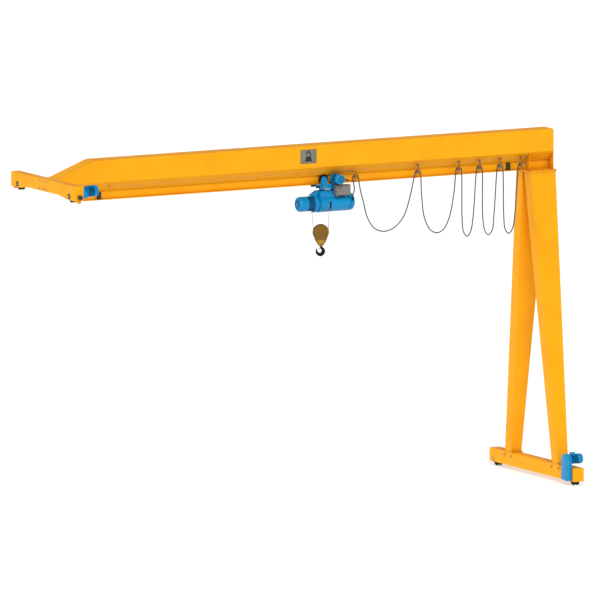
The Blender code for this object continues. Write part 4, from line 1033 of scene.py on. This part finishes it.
def make_control_box():
    """Sheet cabinet: gasketed door, hinges, turn locks, rain lip and glands underneath."""
    low, high = at(6.90, -0.30, 6.465), at(7.25, -0.155, 6.69)

    def inset(builder, left, front, under, right, back, over, bevel):
        """A box given by its gaps from the cabinet's sides, with y counted from the door's face."""
        add_box(builder, (low.x + left, low.y + front, low.z + under),
                (high.x - right, low.y + back, high.z - over), bevel)

    builder = bmesh.new()
    inset(builder, 0.003, 0.0125, 0.001, 0.003, 0.145, 0.004, 0.003)
    add_box(builder, (low.x, low.y + 0.006, high.z - 0.006), (high.x, high.y + 0.0005, high.z), 0.0015)
    for x in (6.95, 7.17):
        foot = at(x).x
        add_box(builder, (foot, -0.1745, 6.4155), (foot + 0.04, -0.157, 6.469), 0.002)
    finish_piece(builder, "cabinet", "trolley", "box_grey", ["control_box"])
    door = bmesh.new()
    inset(door, 0.007, 0.0015, 0.006, 0.007, 0.0105, 0.010, 0.003)
    inset(door, 0.030, 0.0003, 0.030, 0.055, 0.006, 0.034, 0.0025)
    finish_piece(door, "cabinet_door", "trolley", "box_grey")
    seal = bmesh.new()
    inset(seal, 0.009, 0.009, 0.008, 0.009, 0.0135, 0.012, 0.001)
    finish_piece(seal, "cabinet_gasket", "trolley", "box_grey", paint="rubber")

    fittings = bmesh.new()
    hinge = both_ends([(0, 0.017), (0.0048, 0.017), (0.0055, 0.0155)])
    lock = [(0, 0.0002), (0.0085, 0.0002), (0.0095, 0.0012), (0.0095, 0.004), (0, 0.004)]
    slot = Vector((0.0015, 0, 0.0065))
    for z in (low.z + 0.045, high.z - 0.050):
        add_turned(fittings, hinge, "Z", Vector((low.x + 0.0058, low.y + 0.0072, z)), 20)
        spot = Vector((high.x - 0.030, low.y, z))
        add_turned(fittings, lock, "Y", spot, 24)
        add_box(fittings, spot - slot - Vector((0, 0.0005, 0)), spot + slot + Vector((0, 0.002, 0)))
    finish_piece(fittings, "cabinet_fittings", "trolley", "steel", paint="bolt_steel")
    glands = bmesh.new()
    for x in (7.02, 7.07, 7.12):
        base = at(x, -0.225)
        stem = [(0, 6.442), (0.009, 6.442), (0.0105, 6.446), (0.0105, 6.4665), (0, 6.4665)]
        add_turned(glands, stem, "Z", base, 20)
        add_prism(glands, hexagon(base.x, base.y, 0.0135), "Z", 6.453, 6.464, 0.001)
    finish_piece(glands, "cabinet_glands", "trolley", "box_grey", paint="black_iron")


# -------------------------------------------------------------------- trolley
WHEEL_PROFILE = [(0.0228, 0.0245), (0.040, 0.0245), (0.042, 0.030), (0.074, 0.030), (0.0765, 0.0245),
                 (0.0935, 0.0245), (0.0948, 0.026), (0.0948, 0.0655), (0.0965, 0.067), (0.1060, 0.0685),
                 (0.1078, 0.0705), (0.1078, 0.0815), (0.1060, 0.0838), (0.0860, 0.0855), (0.0800, 0.0800),
                 (0.0470, 0.0795), (0.0450, 0.0815), (0.0450, 0.0915), (0.0440, 0.0923), (0.0228, 0.0923)]
BOSS_PROFILE = [(0.024, 0.1074), (0.050, 0.1074), (0.046, 0.1110), (0.030, 0.1122), (0.024, 0.1122)]
BUMPER_PROFILE = [(0, -0.004), (0.0215, -0.004), (0.0255, -0.002), (0.0270, 0.002), (0.0270, 0.030),
                  (0.0255, 0.032), (0.0255, 0.120), (0.0242, 0.124), (0, 0.124)]


def make_trolley_sides():
    """Turned wheels, pressed bosses, axle nuts and a bumper on each side plate."""
    for end, side in (("near", -1), ("far", 1)):
        nuts, bosses = [], bmesh.new()
        for which, x in zip(("left", "right"), WHEEL_X):
            spot = at(x, 0, WHEEL_Z)
            wheel = f"trolley_wheel_{end}_{which}"
            turned_piece(wheel.replace("trolley", "flanged"), wheel, "black_iron",
                         sided(WHEEL_PROFILE, side), "Y", spot, 72, [wheel])
            add_turned(bosses, sided(BOSS_PROFILE, side), "Y", spot, 48)
            nuts.append((Vector((spot.x, side * 0.1192, spot.z)), (0, side, 0)))
        finish_piece(bosses, f"plate_bosses_{end}", "trolley", "hoist_blue")
        bolts(f"trolley_axle_nuts_{end}", "trolley", nuts, 0.019)
        turned_piece(f"bumper_pad_{end}", "trolley", "hoist_blue", BUMPER_PROFILE, "X",
                     at(6.36, side * 0.143, 6.70), 40, paint="rubber")


def make_trolley_details():
    """Hanger bolts with their nuts, the travel gear's cover and the tow arm's sleeve."""
    chamfered = both_ends([(0, 0.1292), (0.0150, 0.1292), (0.0165, 0.1278)])
    for which, x in zip(("left", "right"), WHEEL_X):
        spot = at(x, 0, HANGER_Z)
        shaft = bmesh.new()
        add_turned(shaft, chamfered, "Y", spot, 32)
        for side in (-1, 1):
            add_pair_prism(shaft, hexagon(spot.x, spot.z, 0.028), side, 0.1115, 0.1275, 0.0015)
            washer = [(0.0166, 0.1076), (0.0300, 0.1076), (0.0300, 0.1112), (0.0166, 0.1112)]
            add_turned(shaft, sided(washer, side), "Y", spot, 32)
        for y in (-0.0925, 0.0925):
            collar = [(0.0166, y - 0.002), (0.024, y - 0.002), (0.024, y + 0.0015), (0.0166, y + 0.0015)]
            add_turned(shaft, collar, "Y", spot, 32)
        finish_piece(shaft, f"hanger_bolt_{which}", "trolley", "steel",
                     [f"hanger_shaft_{which}"], "bolt_steel")

    low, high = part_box("trolley_gearcase")
    spot = Vector(((low.x + high.x) / 2, 0, (low.z + high.z) / 2))
    profile = [(0, high.y), (0.098, high.y), (0.0995, high.y - 0.0015), (0.0995, high.y - 0.011),
               (0.094, high.y - 0.013), (0.094, low.y + 0.012), (0.092, low.y + 0.004),
               (0.086, low.y + 0.0003), (0, low.y + 0.0003)]
    turned_piece("trolley_gear_cover", "trolley", "hoist_blue", profile, "Y", spot, 64, ["trolley_gearcase"])
    ring_of_bolts("gear_cover_bolts", Vector((spot.x, high.y - 0.011, spot.z)), "Y", 0.0965,
                  range(10, 370, 45), (0, -1, 0), 0.0028)

    sleeve = [(0.0135, -0.483), (0.0150, -0.4855), (0.0150, -0.205), (0.0135, -0.205)]
    turned_piece("striker_sleeve", "trolley", "steel", sleeve, "Y", at(7.098, 0, 6.806), 32, paint="rubber")
    bolts("tow_arm_bolts", "trolley", [(at(x, -0.128, 6.7825), (0, -1, 0)) for x in (7.049, 7.070)], 0.008)


# ----------------------------------------------------------------- hook block
TRUNNION_Z = -0.255          # heights on the block are counted from the sheave's axle


def finish_on_block(builder, *details, **more):
    """Finish a piece that was built about the sheave's axle."""
    builder.transform(BLOCK_PLACE)
    finish_piece(builder, *details, **more)


def mirrored(outline):
    """One half of an outline, with its mirror image walked back after it."""
    return outline + [(-a, b) for a, b in outline[::-1]]


def make_block_frame():
    """Dished cheeks with rims, hubs and spacers, the neck plates and their fasteners."""
    cheek = arc((0, 0), 0.174, -35, 215, 64)
    cheek += mirrored([(-0.128, -0.150), (-0.105, -0.200), (-0.070, -0.252), (-0.040, -0.296),
                       (-0.030, -0.302)])
    dish = [(0.170, 0.0362), (0.1725, 0.0375), (0.170, 0.0398), (0.161, 0.0412), (0.155, 0.0398),
            (0.153, 0.0375), (0.146, 0.0372), (0.144, 0.0362)]
    hub = [(0.0305, 0.0362), (0.0305, 0.0435), (0.060, 0.0430), (0.068, 0.0400), (0.072, 0.0362)]
    web = mirrored([(0.034, -0.284), (0.064, -0.236), (0.096, -0.172), (0.088, -0.160)])
    rivet = [(0, 0.0364), (0.0072, 0.0364), (0.0072, 0.0395), (0.004, 0.0412), (0, 0.0414)]
    cheeks, neck, fasteners = bmesh.new(), bmesh.new(), bmesh.new()
    for side in (-1, 1):
        add_pair_prism(cheeks, cheek, side, 0.0302, 0.0365, 0.0012)
        add_turned(cheeks, sided(dish, side), "Y", Vector(), 72)
        add_turned(cheeks, sided(hub, side), "Y", Vector(), 56)
        add_turned(cheeks, rod(0.0098, -0.0335, 0.0335), "Y", Vector((side * 0.082, 0, -0.205)), 24)
        add_pair_prism(neck, web, side, 0.0362, 0.0435, 0.0028)
        for x in (-0.060, 0.060):
            add_pair_prism(fasteners, hexagon(x, -0.186, 0.0125), side, 0.0434, 0.0500, 0.001)
        for x, z in arc((0, 0), 0.110, 30, 330, 5):
            add_turned(fasteners, sided(rivet, side), "Y", Vector((x, 0, z)), 20)
    finish_on_block(cheeks, "block_cheeks", "hook_block", "block_ochre", ["hook_block_frame"])
    # neck plates in the lighter ochre: painted highlight on the block's lower part
    finish_on_block(neck, "block_neck_plates", "hook_block", "block_ochre", paint="painted_highlight_ochre")
    finish_on_block(fasteners, "block_fasteners", "hook_block", "block_ochre")


def make_sheave():
    """The grooved sheave, its axle between keeper heads and the grease nipple."""
    sheave = bmesh.new()
    face = [(0.0309, 0.0238), (0.046, 0.0238), (0.048, 0.021), (0.060, 0.009), (0.146, 0.009),
            (0.152, 0.020), (0.156, 0.0238), (0.1750, 0.0238), (0.1768, 0.0225), (0.1757, 0.0148)]
    groove = arc((SHEAVE_PITCH + 0.0035, 0), 0.0145, 262, 112, 10)
    add_turned(sheave, sided(face, -1) + groove + face[::-1], "Y", Vector(), 80)
    finish_on_block(sheave, "grooved_sheave", "sheave", "black_iron", ["rope_sheave"])

    pin = bmesh.new()
    head = [(0, 0.0518), (0.034, 0.0518), (0.0385, 0.0490), (0.0395, 0.0465), (0.0395, 0.0440),
            (0.0298, 0.0436)]
    add_turned(pin, both_ends(head), "Y", Vector(), 48)
    finish_on_block(pin, "sheave_axle", "hook_block", "steel", ["sheave_pin"], "block_ochre")
    grease = bmesh.new()
    nipple = [(0, -0.0600), (0.0035, -0.0600), (0.0045, -0.0575), (0.0030, -0.0555), (0.0060, -0.0530),
              (0.0060, -0.0515), (0, -0.0515)]
    add_turned(grease, nipple, "Y", Vector(), 20)
    finish_on_block(grease, "grease_nipple", "hook_block", "steel", paint="bolt_steel")


def make_yoke():
    """The crosshead: a square frame round the shank, hung on two trunnions."""
    yoke = bmesh.new()
    low, high, outer, inner = TRUNNION_Z - 0.0275, TRUNNION_Z + 0.0275, 0.0335, 0.0178
    outline = mirrored([(0.030, low), (outer, low + 0.0035), (outer, high - 0.0035), (0.030, high)])
    trunnion = [(0, 0.0275), (0.0158, 0.0275), (0.0158, 0.0430), (0.0145, 0.0438), (0, 0.0438)]
    for side in (-1, 1):
        near, far = sorted((side * inner, side * outer))
        add_pair_prism(yoke, outline, side, inner, 0.0280, 0.0015)
        add_box(yoke, (near, -0.0190, low + 0.0002), (far, 0.0190, high - 0.0002), 0.001)
        add_turned(yoke, sided(trunnion, side), "Y", Vector((0, 0, TRUNNION_Z)), 32)
    finish_on_block(yoke, "trunnion_yoke", "crosshead", "steel", ["crosshead"], "black_iron")


HOOK_STATIONS = ((0.0, -0.290, 0.022), (0.0, -0.318, 0.024), (0.022, -0.348, 0.029),
                 (0.051, -0.380, 0.036), (0.056, -0.420, 0.041), (0.034, -0.464, 0.043),
                 (-0.010, -0.487, 0.040), (-0.058, -0.470, 0.034), (-0.088, -0.434, 0.027),
                 (-0.097, -0.396, 0.018), (-0.092, -0.364, 0.010))      # x, z and radius down the hook


def make_hook():
    """Forged hook with an oval section, collar, shank nut and a spring latch."""
    steps, sides, flatness = 8, 28, 0.78
    line = smooth_path([(x, 0, z) for x, z, _ in HOOK_STATIONS], steps)
    radii = [radius for *_, radius in HOOK_STATIONS]
    radii.append(radii[-1])
    builder = bmesh.new()
    rings = []
    for index, spot in enumerate(line):
        before, after = line[max(index - 1, 0)], line[min(index + 1, len(line) - 1)]
        along = (after - before).normalized()
        across = along.cross(Vector((0, 1, 0))).normalized()
        step, part = divmod(index, steps)
        radius = radii[step] + (radii[step + 1] - radii[step]) * part / steps
        rings.append([builder.verts.new(spot + across * a + Vector((0, b * flatness, 0)))
                      for a, b in circle(radius, sides)])
    tip = line[-1] + (line[-1] - line[-2]).normalized() * 0.006
    rings.append([builder.verts.new(tip + (v.co - line[-1]) * 0.55) for v in rings[-1]])
    skin(builder, rings)
    shank = [(0, -0.300), (0.0205, -0.300), (0.0205, -0.2865), (0.0160, -0.2850), (0.0160, -0.2262),
             (0.0268, -0.2260), (0.0268, -0.2045), (0.0250, -0.2032), (0.0135, -0.2030), (0.0130, -0.2022),
             (0, -0.2022)]
    collar = [(0.0205, -0.330), (0.0235, -0.327), (0.0235, -0.321), (0.0205, -0.318)]
    for profile in (shank, collar):
        add_turned(builder, profile, "Z", Vector(), 40)
    finish_on_block(builder, "forged_hook", "hook", "black_iron", ["hook"], smooth=50)
    latch = bmesh.new()
    outline = [(0.006, -0.338), (0.010, -0.348), (-0.078, -0.378), (-0.094, -0.392), (-0.100, -0.386),
               (-0.084, -0.366), (-0.010, -0.338)]
    add_prism(latch, outline, "Y", -0.0095, 0.0095, 0.0015)
    add_turned(latch, rod(0.004, -0.021, 0.021), "Y", Vector((0.001, 0, -0.343)), 20)
    finish_on_block(latch, "hook_latch", "hook", "black_iron", paint="steel")


# -------------------------------------------------------------------- festoon
def make_festoon_details():
    """The cheeks, strap and screws that hold the cable on every carrier."""
    screw = [(0, -0.2375), (0.0045, -0.2375), (0.0055, -0.2362), (0.0055, -0.2342), (0, -0.2342)]
    bodies = {str(i): (f"festoon_carrier_{i}", x) for i, x in enumerate(CARRIER_X, 1)}
    bodies["end"] = ("crane_frame", FIXED_CLAMP_X)
    for label, (body, x) in bodies.items():
        saddle = (at(x).x, SADDLE_LINE)
        builder = bmesh.new()
        for y in (-0.2265, -0.1965):
            add_prism(builder, arc(saddle, 0.050, 0, 180, 20), "Y", y - 0.0012, y + 0.0012)
        strap = (arc(saddle, SADDLE_WRAP + 0.0140, 62, 118, 10)
                 + arc(saddle, SADDLE_WRAP + 0.0115, 118, 62, 10))
        add_prism(builder, strap, "Y", -0.2265, -0.1955, 0.0005)
        for dx in (-0.016, 0.016):
            add_turned(builder, screw, "Y", at(x + dx, 0, 6.965), 16)
        finish_piece(builder, f"cable_clamp_{label}", body, "steel", paint="bolt_steel")


# --------------------------------------------------------------------- closing
make_camera()
make_stage()
make_festoon_cable()
make_hoist_rope()
dress_nodes()
make_welds()
make_structure_bolts()
make_wheel_caps()
make_capacity_sign()
make_trolley_stops()
make_drives()
make_hoist_motor()
make_coupling()
make_casing()
make_gearbox()
make_control_box()
make_trolley_sides()
make_trolley_details()
make_block_frame()
make_sheave()
make_yoke()
make_hook()
make_festoon_details()
